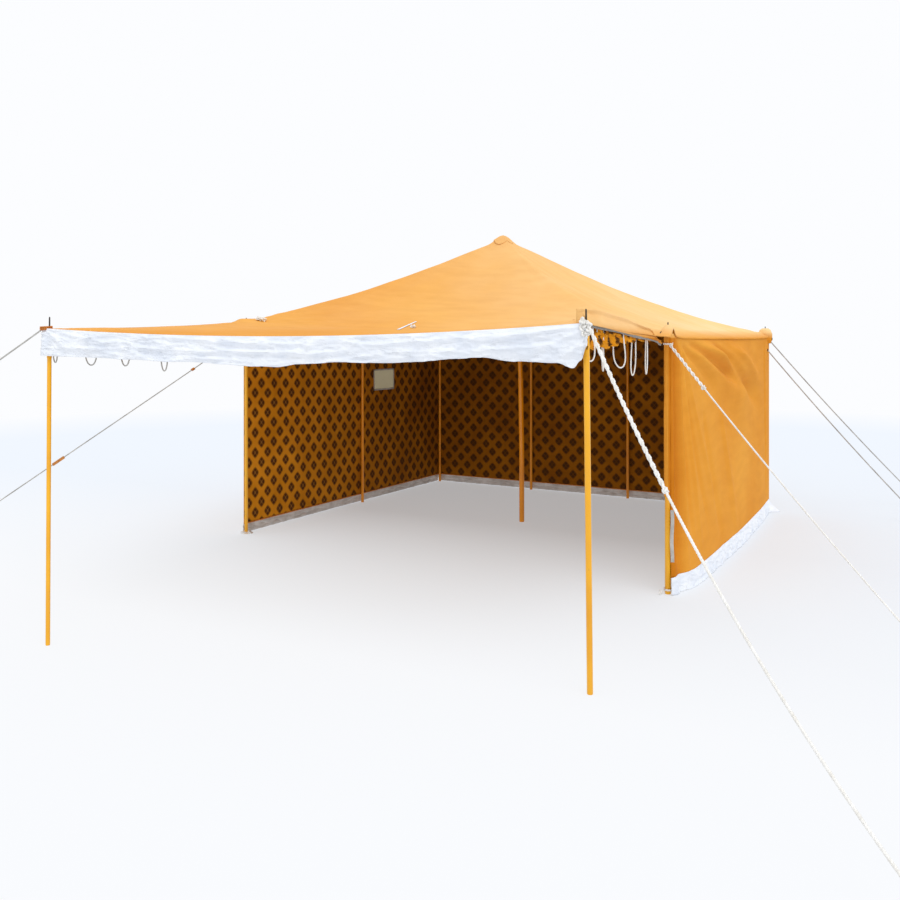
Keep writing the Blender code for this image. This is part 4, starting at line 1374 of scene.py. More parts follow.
# Two sizes of creases: how close they are along and down, their seed, and their height
VALANCE_CREASES = (((3.2, 18.0), 3.0, 0.024), ((9.0, 40.0), 8.0, 0.010))
CREASE_LEVEL = 0.45
VALANCE_FOLDS = (
    ((0.02, 0.00), (0.55, -0.075), 0.012, 0.011),
    ((0.03, -0.01), (0.22, -0.13), 0.014, 0.010),
    ((0.05, -0.12), (0.60, -0.095), 0.012, 0.009),
    ((0.70, -0.085), (2.10, -0.100), 0.012, 0.011),
    ((0.75, -0.110), (2.20, -0.125), 0.014, -0.008),
    ((1.10, -0.030), (2.00, -0.055), 0.014, 0.008),
    ((2.00, -0.060), (3.20, -0.030), 0.014, 0.008),
    ((2.35, -0.100), (3.30, -0.110), 0.014, 0.009),
    ((3.42, -0.010), (2.75, -0.060), 0.014, 0.010),
    ((3.42, -0.020), (3.05, -0.150), 0.014, 0.010),
    ((3.43, -0.050), (3.25, -0.190), 0.012, 0.009),
)


def valance_point(drop, share):
    """A point of the valance, from the awning's edge at drop 0 to its own lower edge at drop 1."""
    edge = awning_front(share)
    height = drop * between(VALANCE_DEPTHS, share)
    along = share * FRONT_LENGTH
    fold = folded(VALANCE_FOLDS, along, -height)
    for stretch, seed, rise in VALANCE_CREASES:
        fold += rise * (creases(along, height, stretch, seed) - CREASE_LEVEL)
    place = edge + FORWARD * (VALANCE_PROUD + VALANCE_FLARE * drop + fold * eased(drop / 0.12))
    place.z = edge.z + 0.002 - height + 0.003 * noise.noise(Vector((along * 6, 0, 4))) * drop
    return place


def make_valance():
    """The valance as a fine grid."""
    piece = grid_piece("valance_cloth", grid_rows(VALANCE_ROWS, VALANCE_COLUMNS, valance_point), [cotton])
    make_sheet(piece, COTTON, "white_cotton", ("awning_valance",), VALANCE_CUT, "hung", ["canopy"])


make_valance()

# %% Skirts
SKIRT_FLARE = 0.024
SKIRT_FRONT_SPOT = (2.040, -1.835)
TAIL_FROM = 0.965
TAIL = 0.10
SKIRT_COLUMNS = {"right": 520, "back": 300, "left": 300}
SKIRT_ROWS = 18
SKIRT_FRONT_COLUMNS = 6
SKIRT_LONGER = 0.2
SKIRT_CUT_HEIGHT = 0.16
PIPING_WIDTH = 0.012
PIPING = 0.004
PIPING_STEPS = 120


def skirt_point(side, share, drop):
    """The skirt's outer face, from the wall's foot at drop 0 to the ground at drop 1."""
    place = wall_spot(side, share, SKIRT_TOP[side])
    along, down = share * WALL_LENGTH[side], drop * SKIRT_HEIGHT
    flare = SKIRT_FLARE * drop * (0.55 + 0.45 * math.sin(math.pi * share))
    crumple = 0.014 * (creases(along, down, (7.0, 14.0), 20.0 + len(side)) - 0.40)
    crumple += 0.004 * (creases(along, down, (22.0, 34.0), 30.0) - 0.45)
    if side == "right":
        flare += TAIL * eased((share - TAIL_FROM) / (1 - TAIL_FROM)) * drop**2
    place += OUTWARD[side] * (flare + crumple * eased(drop / 0.2) + 0.002)
    place.z = (SKIRT_TOP[side] + 0.004) * (1 - drop) + 0.003
    return place


def make_skirt(side):
    """A skirt and the piping of the seam above it. The right one goes round to the pole's hem."""
    rows = grid_rows(SKIRT_ROWS, SKIRT_COLUMNS[side], lambda drop, share: skirt_point(side, share, drop))
    if side == "right":
        rows = reaching_front(rows, SKIRT_FRONT_SPOT, SKIRT_FRONT_COLUMNS)
    piece = grid_piece(side + "_skirt_cloth", rows, [cotton, dusty])
    cut = (WALL_LENGTH[side] + SKIRT_LONGER, SKIRT_CUT_HEIGHT)
    make_sheet(piece, COTTON, "white_cotton", (side + "_skirt",), cut, "hung", [side + "_wall_cloth"])
    inside = OUTWARD[side] * -0.006
    seam = [wall_spot(side, k / PIPING_STEPS, SKIRT_TOP[side]) + inside for k in range(PIPING_STEPS + 1)]
    make_strap(side + "_skirt_piping", seam, PIPING_WIDTH, lacing, "canvas", inside.normalized(), PIPING)


for side in OUTWARD:
    make_skirt(side)

# %% [markdown]
# ## The awning's side flap
# In use the front wall's right edge is laced to the side wall. Lifted, that edge is a free flap: a strip of
# canvas that stands up between the pins of the two poles and slopes out to a straight hem with grey webbing
# under it. Behind it the lining is gathered in a ruffle, deepest at the outer pole.

# %% Side flap
SIDE_LINE = (Vector((2.180, -3.845, 1.918)), Vector((2.045, -1.800, 1.794)))
FLAP_RISE = (
    (-0.02, 0.066), (0.06, 0.080), (0.20, 0.094), (0.40, 0.092), (0.70, 0.078), (0.86, 0.058), (1.0, 0.05),
)
# Each row of the flap: how far inward from the hem, how much of the flap's rise, and how much it rests on
# the canopy below it instead
FLAP_ROWS = (
    (0.230, 0.00, 1.0), (0.180, 0.20, 0.9), (0.130, 0.55, 0.5), (0.095, 0.82, 0.0), (0.075, 0.94, 0.0),
    (0.062, 0.99, 0.0), (0.052, 1.00, 0.0), (0.046, 0.99, 0.0), (0.043, 0.95, 0.0), (0.042, 0.90, 0.0),
    (0.043, 0.82, 0.0), (0.044, 0.74, 0.0), (0.043, 0.68, 0.0), (0.036, 0.62, 0.0), (0.027, 0.52, 0.0),
    (0.020, 0.42, 0.0), (0.013, 0.32, 0.0), (0.007, 0.21, 0.0), (0.005, 0.12, 0.0), (0.003, 0.04, 0.0),
    (0.003, -0.03, 0.0), (0.002, -0.10, 0.0),
)
FLAP_COLUMNS = 150
FLAP_CUT = (2.1, 0.40)
# The rows of the flap that are gathered, and how much
FLAP_GATHERED = range(7, 20)
FLAP_GATHER = 0.006
FLAP_OPENS = 0.07
FLAP_FRONT_INSET = 0.055
FLAP_CLOSED = 0.03
FLAP_WIDENS = 0.25
FLAP_END = 0.97
FLAP_END_PULL = 0.065


def side_place(share):
    """The hem's place at a share from the outer pole to the roof, and the way that is inward from it."""
    start, end = SIDE_LINE
    inward = Vector((start.y - end.y, end.x - start.x, 0)).normalized()
    pull = FLAP_END_PULL * eased((share - 0.72) / 0.25)
    return start.lerp(end, share) + inward * pull, inward


def make_flap():
    """The flap as rows that run along it, from the canopy over its crest to its hem."""
    stations = [FLAP_END * k / FLAP_COLUMNS for k in range(FLAP_COLUMNS + 1)]
    rows = []
    for number, (inset, rise, rest) in enumerate(FLAP_ROWS):
        row = []
        for share in stations:
            hem, inward = side_place(share)
            height = between(FLAP_RISE, share)
            gather = 0.0
            if number in FLAP_GATHERED:
                gather = FLAP_GATHER * math.sin(number * 1.9) * eased((share - 0.35) / 0.5)
            sway = 0.004 * noise.noise(Vector((share * 9, number * 0.23, 2)))
            if inset < FLAP_FRONT_INSET:
                gather += (FLAP_FRONT_INSET - inset) * (1 - eased(share / FLAP_CLOSED))
            wide = max(0.0, inset - FLAP_FRONT_INSET) * (1 - eased(share / FLAP_WIDENS))
            place = hem + inward * (inset - wide + gather + sway)
            place.z = hem.z + height * rise + 0.003 * noise.noise(Vector((share * 12, number * 0.15, 5)))
            resting = 1 - (1 - rest) * eased(share / FLAP_OPENS) if inset > FLAP_FRONT_INSET else rest
            if resting:
                place.z += (on_canopy(place.x, place.y, 0.004).z - place.z) * resting
            row.append(place)
        rows.append(row)
    piece = grid_piece("awning_side_flap", rows, [canvas, canvas])
    make_sheet(piece, THIN_CLOTH, "canvas", (), FLAP_CUT, "folded", ["canopy", "awning_right_pole"])


make_flap()

# %% Webbing under the flap
WEBBING_WIDTH = 0.016
WEBBING_SPAN = (0.02, 0.93)
WEBBING_STATIONS = 12


def make_side_webbing():
    """The grey webbing that edges the flap's hem from below."""
    places = []
    for k in range(WEBBING_STATIONS + 1):
        hem, inward = side_place(WEBBING_SPAN[0] + WEBBING_SPAN[1] * k / WEBBING_STATIONS)
        places.append(hem + inward * 0.004 - UP * (0.012 + 0.003 * math.sin(k * 1.3)))
    out = -side_place(0.5)[1]
    make_strap("side_webbing", smooth_points(places, 60), WEBBING_WIDTH, webbing, "canvas", out)


make_side_webbing()

# %% Gathered lining under the flap
RUFFLE_SPAN = 0.66
RUFFLE_DEPTH = ((0.0, 0.135), (0.25, 0.110), (0.55, 0.060), (0.85, 0.022), (1.0, 0.010))
RUFFLE_ROWS = 32
RUFFLE_COLUMNS = 180
RUFFLE_THICKNESS = 0.002
RUFFLE_CUT = (1.9, 0.15)
RUFFLE_CREASES = (((9.0, 26.0), 40.0, 0.034), ((30.0, 50.0), 44.0, 0.010))
SIDE_LENGTH = 2.06


def ruffle_spot(drop, share):
    """A point of the gathered lining, in deep sharp folds."""
    hem, inward = side_place(0.01 + share * RUFFLE_SPAN)
    depth = between(RUFFLE_DEPTH, share)
    along = share * RUFFLE_SPAN * SIDE_LENGTH
    gather = 0.0
    for stretch, seed, rise in RUFFLE_CREASES:
        gather += rise * (creases(along, drop * depth, stretch, seed) - 0.4)
    place = hem + inward * (0.034 - gather * eased(drop / 0.15) - 0.015 * drop)
    place.z = hem.z - 0.006 - depth * drop + 0.006 * math.sin(along * 31) * drop
    return place


def make_ruffle():
    """The gathered lining as a fine grid."""
    piece = grid_piece("gathered_lining", grid_rows(RUFFLE_ROWS, RUFFLE_COLUMNS, ruffle_spot), [lining])
    make_sheet(piece, RUFFLE_THICKNESS, "canvas", (), RUFFLE_CUT, "gathered", ["canopy"])


make_ruffle()

# %% [markdown]
# ## Ropes
# A laid rope is three strands twisted together. Its section is a circle with three lobes, and the section
# turns as it goes along, so the grooves wind round the rope. The guys follow the frame's solids: each one's
# two ends are corners of its own box, and it hangs a little below the straight line between them.

# %% Rope
STRAND = (1.0, 0.93, 0.74, 0.93)
ROPE_POINTS = 12
ROPE_SECTION = []
for k in range(ROPE_POINTS):
    turn = math.tau * k / ROPE_POINTS
    ROPE_SECTION.append((STRAND[k % 4] * math.cos(turn), STRAND[k % 4] * math.sin(turn)))
ROPE_TURN = math.radians(46)
WOUND_POINTS = 10


def rope_piece(name, lines, radius, material):
    """One piece of rope along one or more lines of places."""
    shape = ([], [])
    section = [(a * radius, b * radius) for a, b in ROPE_SECTION]
    for line in lines:
        swept(shape, resampled(line, radius * 0.9), section, turn=ROPE_TURN)
    return mesh_piece(name, *shape, [material])


def wound(line, offset, pitch, start=0.0):
    """A line that winds round another one."""
    places = []
    for n, place, side, over in frames(resampled(line, pitch / WOUND_POINTS)):
        turn = start + math.tau * n / WOUND_POINTS
        places.append(place + (side * math.cos(turn) + over * math.sin(turn)) * offset)
    return places


def knot(middle, ahead, size, turns=40):
    """An overhand knot's own line."""
    side = ahead.orthogonal().normalized()
    over = ahead.cross(side)
    places = []
    for k in range(turns + 3):
        t = math.tau * k / turns
        a = (math.sin(t) + 2 * math.sin(2 * t)) / 3
        b = (math.cos(t) - 2 * math.cos(2 * t)) / 3
        places.append(middle + side * a * size + over * b * size - ahead * math.sin(3 * t) * size / 2)
    return places


def free_rope(name, places, radius, material, lay, far_end, *nodes):
    """A rope that hangs or lies free, with its real length."""
    piece = place_piece(rope_piece(name, [places], radius, material), "rope", *nodes)
    length = round(length_of(places), 3)
    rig.cord(
        piece, exit=places[0], length=length, diameter=2 * radius, far_end=far_end, stiffness="limp", lay=lay,
        path=places,
    )
    print(name, length, "m long")


# %% Guys
ROPE_RADIUS = 0.0045
THIN_ROPE_RADIUS = 0.0032
HEAVY_ROPE_RADIUS = 0.007
# The knots bundled at the awning's right corner: the way each faces, how far left and how far down it is
TOP_KNOTS = (
    (0.0, 0.025, -0.012), (1.3, 0.000, 0.004), (2.4, 0.020, 0.022), (0.6, -0.004, 0.036), (1.9, 0.012, 0.055),
)
TOP_KNOT_SIZE = 0.019
TOP_KNOT_PROUD = 0.012
GUY_TAG_SHARE = (0.171, 0.183)
GUY_TAG_TURNS_MM = 8
# Each peg's half thickness, half the height of the rope's turns on it, and how far before it the hitch is
PEG = 0.009
LASHING = 0.016
HITCH = 0.03
HITCH_SIZE = 3.2
# The doubled upper ends of two guys: the share of the guy, how far apart the strands are, how long a turn
# is, and the size of the knot
DOUBLED_ENDS = {"awning_right": (0.36, 0.0048, 0.09, 0.011), "front_right": (0.16, 0.0065, 0.10, 0.014)}
SINGLE_FROM = 0.35
# The left and back guys take the grey rope, whose grey is painted shade
# Each guy's sag, its rope, and how much thicker the loose strands make it
GUYS = {
    "awning_left": (0.05, rope_grey, 1.2),
    "awning_right": (0.17, rope_white, 1.05),
    "front_left": (0.0, rope_grey, 1.2),
    "front_right": (0.04, rope_white, 1.35),
    "back_right_upper": (0.03, rope_grey, 1.5),
    "back_right_lower": (0.03, rope_grey, 1.5),
    "back_left_upper": (0.03, rope_grey, 1.5),
    "back_left_lower": (0.03, rope_grey, 1.5),
}


def guy_line(name, sag, radius, steps=24):
    """The points down the middle of a guy, from its end at the tent to its end at the peg."""
    low, high = (Vector(c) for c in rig.box(name + "_guy"))
    peg = sum((Vector(c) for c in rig.box(name + "_peg")), Vector()) / 2
    ahead = (high - low).normalized()
    inset = Vector([radius * math.sqrt(1 - c * c) for c in ahead])
    low, high = low + inset, high - inset
    start, end = high.copy(), low.copy()
    for axis in (0, 1):
        if peg[axis] > (low[axis] + high[axis]) / 2:
            start[axis], end[axis] = low[axis], high[axis]
    line = []
    for k in range(steps + 1):
        place = start.lerp(end, k / steps)
        place.z -= 4 * sag * k / steps * (1 - k / steps)
        line.append(place)
    return line


def part_of(line, start, end):
    """The stretch of a line from one share of its length to another."""
    fine = resampled(line, 0.01)
    return fine[round(start * (len(fine) - 1)) : round(end * (len(fine) - 1)) + 1]


def peg_lashing(line, radius):
    """The rope's turns round its peg and the hitch that holds them."""
    ahead = (line[-1] - line[-2]).normalized()
    out = Vector((ahead.x, ahead.y, 0)).normalized()
    lean = (out * -ahead.z + UP * out.dot(ahead)).normalized()
    middle = line[-1] + ahead * PEG
    turns = wound([middle - lean * LASHING, middle + lean * LASHING], PEG + radius, 2.3 * radius)
    return [turns, knot(line[-1] - ahead * HITCH, ahead, radius * HITCH_SIZE)]


def doubled_end(line, share, offset, pitch, size):
    """Two strands wound round each other at the tent's end, and the knot where they end."""
    stretch = part_of(line, 0.0, share)
    ahead = (line[1] - line[0]).normalized()
    strands = [wound(stretch, offset, pitch, start) for start in (0.0, math.pi)]
    return strands + [knot(stretch[-1], ahead, size)]


for name, (sag, material, swell) in GUYS.items():
    radius = HEAVY_ROPE_RADIUS if name == "awning_right" else ROPE_RADIUS
    line = guy_line(name, sag, radius)
    lines = [line] + peg_lashing(line, radius)
    if name in DOUBLED_ENDS:
        lines += doubled_end(line, *DOUBLED_ENDS[name])
    if name == "awning_right":
        lines[0] = part_of(line, SINGLE_FROM, 1.0)
        for turn, left, drop in TOP_KNOTS:
            ahead = Vector((math.cos(turn), math.sin(turn), 0.4)).normalized()
            place = line[0] + FORWARD * TOP_KNOT_PROUD - ALONG_FRONT * left - UP * drop
            lines.append(knot(place, ahead, TOP_KNOT_SIZE))
    place_piece(rope_piece(name + "_guy_rope", lines, radius * swell, material), "rope", name + "_guy")
tagged = part_of(guy_line("front_left", 0.0, ROPE_RADIUS), *GUY_TAG_SHARE)
tag = wound(tagged, ROPE_RADIUS * 2, GUY_TAG_TURNS_MM / 1000)
place_piece(rope_piece("front_left_guy_tag", [tag], ROPE_RADIUS, lacing), "rope")
print("guys:", ", ".join(GUYS))

# %% [markdown]
# ## The rope loops
# Loops of thin rope hang from the canvas inside the awning's right edge, where they hold the wall's lacing
# when it is closed. Their routes are those of the frame's solids. Four more hang behind the valance and just
# show.

# %% Loops
LOOP_INSET = 0.035
# Each loop: its share of the way from the outer pole to the tent, its depth, its width, the way it faces in
# degrees, and how far it swings
AWNING_LOOPS = (
    (0.055, 0.200, 0.055, 45, 0.010),
    (0.130, 0.125, 0.040, 120, 0.010),
    (0.190, 0.240, 0.045, 118, -0.012),
    (0.350, 0.215, 0.060, 48, 0.012),
    (0.520, 0.255, 0.045, 80, -0.015),
    (0.680, 0.250, 0.045, 120, 0.010),
)
# One half of a loop's line, as shares of its width and of its depth
LOOP_HALF = (
    (0.00, 0.00), (-0.01, 0.12), (-0.06, 0.28), (-0.12, 0.45), (-0.15, 0.62), (-0.10, 0.79), (0.08, 0.92),
    (0.30, 0.985),
)
LOOP_ROUTE = LOOP_HALF + ((0.50, 1.00),) + tuple((1 - a, b) for a, b in reversed(LOOP_HALF))
LOOP_STEPS = 28
# The loops behind the valance: their share of the awning's front edge, width and lowest height
VALANCE_LOOPS = (
    (0.0200, 0.034, 1.682), (0.0985, 0.085, 1.668), (0.1720, 0.062, 1.666), (0.2530, 0.044, 1.638),
)
# The ends of a loop are closer together than its widest place
LOOP_ENDS_SHARE = 0.75
VALANCE_LOOP_INSET = 0.030


def under_canopy(place):
    """The height just below the lining."""
    return canopy_tree.ray_cast(Vector((place.x, place.y, 0)), UP)[0].z - 0.001


def hang_loop(name, middle, across, width, depth, swing, material, *nodes):
    """A loop of rope with both ends in the lining."""
    tops = [under_canopy(middle + across * width * way) for way in (-0.5, 0.5)]
    places = []
    for along, down in smooth_points(LOOP_ROUTE, LOOP_STEPS):
        place = middle + across * (width * (along - 0.5) + swing * down**2)
        place.z = tops[0] + (tops[1] - tops[0]) * along - depth * down
        places.append(place)
    free_rope(name, places, ROPE_RADIUS, material, "hanging", "object", *nodes)


def make_loops():
    """The six loops inside the awning's right edge, and the four behind the valance."""
    inward = (AWNING_LEFT - AWNING_RIGHT).normalized() * LOOP_INSET
    for number, (share, depth, width, turn, swing) in enumerate(AWNING_LOOPS, 1):
        across = Vector((math.cos(math.radians(turn)), math.sin(math.radians(turn)), 0))
        middle = AWNING_RIGHT.lerp(outer_corner("front_right"), share) + inward
        name = f"awning_loop_{number}"
        hang_loop(name + "_rope", middle, across, width, depth, swing, rope_white, name)
    # The loops behind the valance take the grey rope, as painted shade
    for number, (share, width, bottom) in enumerate(VALANCE_LOOPS, 1):
        middle = AWNING_LEFT.lerp(AWNING_RIGHT, share) - FORWARD * VALANCE_LOOP_INSET
        depth, ends = under_canopy(middle) - bottom, width * LOOP_ENDS_SHARE
        hang_loop(f"valance_loop_{number}", middle, ALONG_FRONT, ends, depth, 0.0, rope_grey)


make_loops()

# %% [markdown]
# ### Small ropes, ties and straps
# Short ends are tied wherever the tent was laced: round the feet of the front poles, round the top of the
# awning's left pole, and on the roof's front edge. A strap hangs beside the front right pole.

# %% Small ropes
COIL_POINTS = 20
COIL_PROUD = 0.005


def coil(middle, radius, start_height, end_height, turns, grow=0.0):
    """A line that winds round an upright pole."""
    count = round(turns * COIL_POINTS)
    places = []
    for k in range(count + 1):
        height = start_height + (end_height - start_height) * k / count
        places.append(around(middle, radius + grow * k / count, math.tau * turns * k / count, height))
    return places


def make_small_ropes():
    """The ropes round the feet and the tops of the front poles."""
    places = coil(CORNER["front_left"], 0.021, 0.030, 0.007, turns=2.3, grow=0.040)
    tail = [places[-1] + Vector((0.03 * k, -0.02 * k + 0.01 * math.sin(k), 0)) for k in range(1, 4)]
    free_rope("front_left_foot_rope", places + tail, ROPE_RADIUS, rope_white, "loose", "bare")
    foot = CORNER["front_right"]
    places = coil(foot, 0.0275, 0.040, 0.024, turns=2.62)
    end = Vector((foot.x - 0.034, foot.y - 0.070, 0.021))
    places += [places[-1].lerp(end, 0.5) - UP * 0.006] + knot(end, Vector((1, 0.3, 0)), 0.015)
    free_rope("front_right_foot_rope", places, ROPE_RADIUS, rope_white, "loose", "knot")
    places = coil((AWNING_LEFT + AWNING_LEFT_TOP) / 2, 0.034, 1.880, 1.908, turns=3.3)
    free_rope("awning_left_wraps", places, ROPE_RADIUS, lacing, "coiled", "bare")
    places = coil(CORNER["front_right"], HEM_RADIUS + COIL_PROUD, 1.800, 1.784, turns=2.4)
    free_rope("front_right_tie", places, THIN_ROPE_RADIUS, rope_white, "coiled", "bare")


make_small_ropes()

# %% Roof knots and straps
LEFT_KNOT_PIXEL = (261, 321)
MIDDLE_KNOT_PIXEL = (413, 328)
STRAP_PIXELS = ((398, 330), (416, 322))
ROOF_ROPE_LIFT = 0.004
# Each knot on the roof: its pixel, its size, how many there are in a row, and the rope's radius
ROOF_KNOTS = {
    "front_left_roof_knot": (LEFT_KNOT_PIXEL, 0.021, 3, HEAVY_ROPE_RADIUS),
    "front_middle_roof_knot": (MIDDLE_KNOT_PIXEL, 0.015, 2, ROPE_RADIUS),
}
ROOF_STRAP_WIDTH = 0.022
HANGING_STRAP_WIDTH = 0.025
# The strap beside the front right pole: where it hangs, and its highest and lowest places
STRAP_SPOT = (2.042, -1.832)
STRAP_HEIGHTS = (0.61, 0.24)


def knot_on_roof(name, pixel, size, count, radius):
    """A rope end with a row of knots that lies on the roof, where the photograph shows it."""
    places = [seen_on_canopy(*pixel, ROOF_ROPE_LIFT)]
    for number in range(count):
        spot = places[0] + ALONG_FRONT * size * 1.5 * (number - (count - 1) / 2)
        middle = on_canopy(spot.x, spot.y, size * 0.8)
        places += knot(middle, Vector((math.cos(number), math.sin(number), 0.3)).normalized(), size)
    free_rope(name, places, radius, rope_white, "loose", "knot")


def make_roof_ties():
    """The knots and the strap on the roof's front edge, and the strap beside the front right pole."""
    for name, knots in ROOF_KNOTS.items():
        knot_on_roof(name, *knots)
    (u, v), (last_u, last_v) = STRAP_PIXELS
    places = []
    for k in range(7):
        places.append(seen_on_canopy(u + (last_u - u) * k / 6, v + (last_v - v) * k / 6, ROOF_ROPE_LIFT))
    cut = (places, ROOF_STRAP_WIDTH)
    free_strap("front_middle_strap", *cut, cotton, "white_cotton", UP, "draped", ["canopy"])
    places = []
    for k in range(9):
        z = STRAP_HEIGHTS[0] + (STRAP_HEIGHTS[1] - STRAP_HEIGHTS[0]) * k / 8
        places.append(Vector((STRAP_SPOT[0] + 0.003 * math.sin(k), STRAP_SPOT[1], z)))
    cut = (places, HANGING_STRAP_WIDTH)
    free_strap("front_right_strap", *cut, rope_grey, "canvas", FORWARD, "hung", ["right_wall_cloth"])


make_roof_ties()

# %% [markdown]
# ## The poles
# The poles are steel tube in yellow enamel. Each is made by extruding a circle from ring to ring: a worn
# foot, the tube, a collar where two tubes join, and a shoulder under the canvas. The pins on top are
# bare steel. The centre pole's upper tube bows under the roof's pull.

# %% Poles
def turned_piece(name, rings, material, sides=32):
    """A round piece made by extruding a circle from ring to ring. A ring is its middle and its radius."""
    bpy.ops.object.select_all(action="DESELECT")
    foot, radius = rings[0]
    bpy.ops.mesh.primitive_circle_add(vertices=sides, radius=radius, fill_type="NGON", location=foot)
    piece = bpy.context.object
    piece.name = piece.data.name = name
    bpy.ops.object.mode_set(mode="EDIT")
    bpy.ops.mesh.select_all(action="SELECT")
    for (a, wide), (b, next_wide) in zip(rings, rings[1:]):
        bpy.ops.mesh.extrude_region_move(TRANSFORM_OT_translate={"value": tuple(b - a)})
        if next_wide != wide:
            factor = next_wide / wide
            bpy.ops.transform.resize(value=(factor, factor, 1), center_override=tuple(b))
    bpy.ops.mesh.select_all(action="SELECT")
    bpy.ops.mesh.normals_make_consistent(inside=False)
    bpy.ops.object.mode_set(mode="OBJECT")
    bpy.ops.object.transform_apply(location=True, rotation=True, scale=True)
    bpy.ops.object.shade_smooth_by_angle(angle=math.radians(35))
    piece.data.materials.append(material)
    return piece


SHOULDER = 0.0063
LIP = 0.004
WORN = 0.9
WALL_POLE_RADIUS = 0.016
PIN_RADIUS = 0.005
COLLAR_SHARE = 0.905
COLLAR_SWELL = 1.12
CENTRE_RADIUS = 0.025
CENTRE_UPPER_RADIUS = 0.0225
CENTRE_JOINT = 1.43
CENTRE_COLLAR_SWELL = 1.06
CENTRE_UPPER_RINGS = 16
CENTRE_BOW_POWER = 4
# Each pole: its foot, its top under the canvas, its radius and the length of its pin
POLES = {
    "front_left": (CORNER["front_left"] * LEVEL, CORNER["front_left"], 0.016, 0.014),
    "front_right": (CORNER["front_right"] * LEVEL, CORNER["front_right"], 0.022, 0.024),
    "back_right": (CORNER["back_right"] * LEVEL, CORNER["back_right"], 0.016, 0.030),
    "back_left": (CORNER["back_left"] * LEVEL, CORNER["back_left"], 0.016, 0.030),
    "awning_left": (AWNING_LEFT_FOOT, AWNING_LEFT_TOP, 0.013, 0.080),
    "awning_right": (AWNING_RIGHT_FOOT, AWNING_RIGHT_TOP, 0.016, 0.080),
}
WALL_POLES = ("left_middle", "right_middle", "back_inner_left", "back_inner_right")


def tube_rings(foot, top, radius):
    """A worn foot, the tube, a collar near its top, and the shoulder."""
    lip = LIP / (top.z - foot.z)
    places = [foot.lerp(top, share) for share in (lip, COLLAR_SHARE, COLLAR_SHARE + 4 * lip, 1 - lip)]
    worn, wide = radius * WORN, radius * COLLAR_SWELL
    rings = [(foot, worn), (places[0], radius), (places[1], radius), (places[1], wide)]
    return rings + [(places[2], wide), (places[2], radius), (places[3], radius), (top, worn)]


def make_poles():
    """The poles with pins, and the plain ones that only hold up a wall."""
    for name, (foot, top, radius, pin) in POLES.items():
        shoulder = top - UP * SHOULDER
        # The back poles take the orange copy of the enamel, as painted bounce light from the lining
        paint = bounce_lit_enamel if name.startswith("back") else enamel
        pole = turned_piece(name + "_pole_tube", tube_rings(foot, shoulder, radius), paint)
        place_piece(pole, "yellow_enamel", name + "_pole")
        ahead = (shoulder - foot).normalized()
        base, tip = shoulder - ahead * LIP, shoulder + ahead * pin
        rings = [(base, PIN_RADIUS), (base.lerp(tip, 0.9), PIN_RADIUS * WORN), (tip, PIN_RADIUS * 0.6)]
        place_piece(turned_piece(name + "_pin", rings, steel, sides=16), "forged_steel")
    for name in WALL_POLES:
        low, high = (Vector(c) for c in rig.box(name + "_pole"))
        foot = (low + high) / 2 * LEVEL
        rings = tube_rings(foot, foot + UP * high.z, WALL_POLE_RADIUS)
        # Painted orange bounce light on the wall poles inside
        pole = turned_piece(name + "_pole_tube", rings, bounce_lit_enamel)
        place_piece(pole, "yellow_enamel", name + "_pole")


def make_centre_pole():
    """Two tubes, the upper one thinner and bowed towards the roof's top."""
    top = APEX - UP * SHOULDER

    def bowed(height):
        """The middle of the pole at a height."""
        lean = (height / top.z) ** CENTRE_BOW_POWER
        return Vector((top.x * lean, top.y * lean, height))

    wide = CENTRE_RADIUS * CENTRE_COLLAR_SWELL
    lower = ((0, CENTRE_RADIUS * 0.92), (LIP, CENTRE_RADIUS), (0.7, CENTRE_RADIUS))
    lower += ((CENTRE_JOINT - 0.02, CENTRE_RADIUS), (CENTRE_JOINT - 0.018, wide), (CENTRE_JOINT, wide))
    rings = [(bowed(height), radius) for height, radius in lower]
    for k in range(CENTRE_UPPER_RINGS + 1):
        height = CENTRE_JOINT + (top.z - CENTRE_JOINT) * k / CENTRE_UPPER_RINGS
        rings.append((bowed(height), CENTRE_UPPER_RADIUS))
    # Painted orange bounce light on the centre pole inside
    place_piece(turned_piece("centre_pole_tubes", rings, bounce_lit_enamel), "yellow_enamel", "centre_pole")


make_poles()
make_centre_pole()
print("poles:", len(POLES) + len(WALL_POLES) + 1)

# %% Pegs and slider
for name in GUYS:
    frame["nodes"][name + "_peg"].material_slots[0].material = steel
frame["nodes"]["front_left_slider"].material_slots[0].material = wood
print("pegs:", len(GUYS))

# %% [markdown]
# ## The floor and the light
# A pale studio floor, a bright sky all round and one large soft sun from the front right give the open shade
# of the photograph. The floor has a glow of its own, which grows towards the front and turns to the sky's
# own white far away, so that no line shows where it ends.

# %% Stage
FLOOR_SIZE = 400.0
FLOOR_GLOW = 0.40
FRONT_GLOW = 0.88
FRONT_SPAN = (-0.2, -4.0)
FAR_SPAN = (8.0, 16.0)
FLOOR_COLOUR = "D8E0EA"
SKY = "FCFDFF"
SUN_STRENGTH = 0.80
SUN_DEGREES = 35
SUN_SHINES = Vector((-3.5, 2.5, -8))


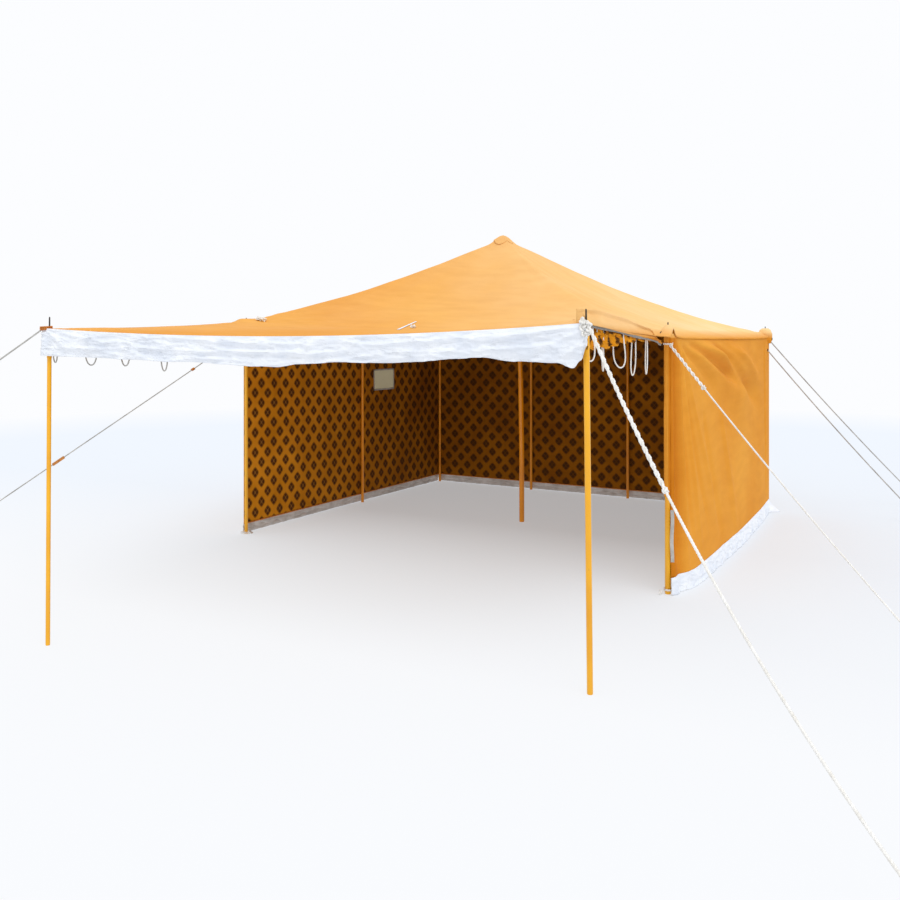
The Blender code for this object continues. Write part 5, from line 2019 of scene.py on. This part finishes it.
def make_floor():
    """A wide plane whose glow grows towards the front and far away."""
    bpy.ops.object.select_all(action="DESELECT")
    bpy.ops.mesh.primitive_plane_add(size=FLOOR_SIZE)
    floor = bpy.context.object
    floor.name = "studio_floor"
    material, tree, shader = new_material("pale floor", 0.9, Specular_IOR_Level=0.0)
    shader.inputs["Base Color"].default_value = colour(FLOOR_COLOUR)
    place = node(tree, "TexCoord").outputs["Object"]
    away = node(tree, "VectorMath", links={0: place}, operation="LENGTH").outputs["Value"]
    spans = {"From Min": FAR_SPAN[0], "From Max": FAR_SPAN[1]}
    far = node(tree, "MapRange", spans, {"Value": away}).outputs[0]
    front = node(tree, "SeparateXYZ", links={0: place}).outputs["Y"]
    spans = {"From Min": FRONT_SPAN[0], "From Max": FRONT_SPAN[1], "To Min": FLOOR_GLOW, "To Max": FRONT_GLOW}
    near = node(tree, "MapRange", spans, {"Value": front}).outputs[0]
    share = node(tree, "Math", links={0: far, 1: near}, operation="MAXIMUM").outputs[0]
    glow = node(tree, "Emission", {"Color": colour(SKY)})
    mix = node(tree, "MixShader", links={0: share, 1: shader.outputs[0], 2: glow.outputs[0]})
    tree.links.new(mix.outputs[0], tree.nodes["Material Output"].inputs["Surface"])
    floor.data.materials.append(material)
    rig.stage(floor)


def make_light():
    """An even pale sky and one large soft sun."""
    world = bpy.data.worlds.new("sky")
    world.use_nodes = True
    sky = world.node_tree.nodes["Background"].inputs
    sky["Color"].default_value = colour(SKY)
    sky["Strength"].default_value = 1.0
    bpy.context.scene.world = world
    lamp = bpy.data.lights.new("soft sun", "SUN")
    lamp.energy = SUN_STRENGTH
    lamp.angle = math.radians(SUN_DEGREES)
    lamp_object = bpy.data.objects.new("soft sun", lamp)
    lamp_object.rotation_euler = SUN_SHINES.to_track_quat("-Z", "Y").to_euler()
    bpy.context.scene.collection.objects.link(lamp_object)
    bpy.context.scene.view_settings.view_transform = "Standard"


make_floor()
make_light()

# %% Write the sizes and finish
sizes = {"cad": [list(c) for c in cad_box], "visual": [list(c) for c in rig.bounds()]}
print("sizes:", sizes)
with open("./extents.json", "w") as file:
    json.dump(sizes, file)
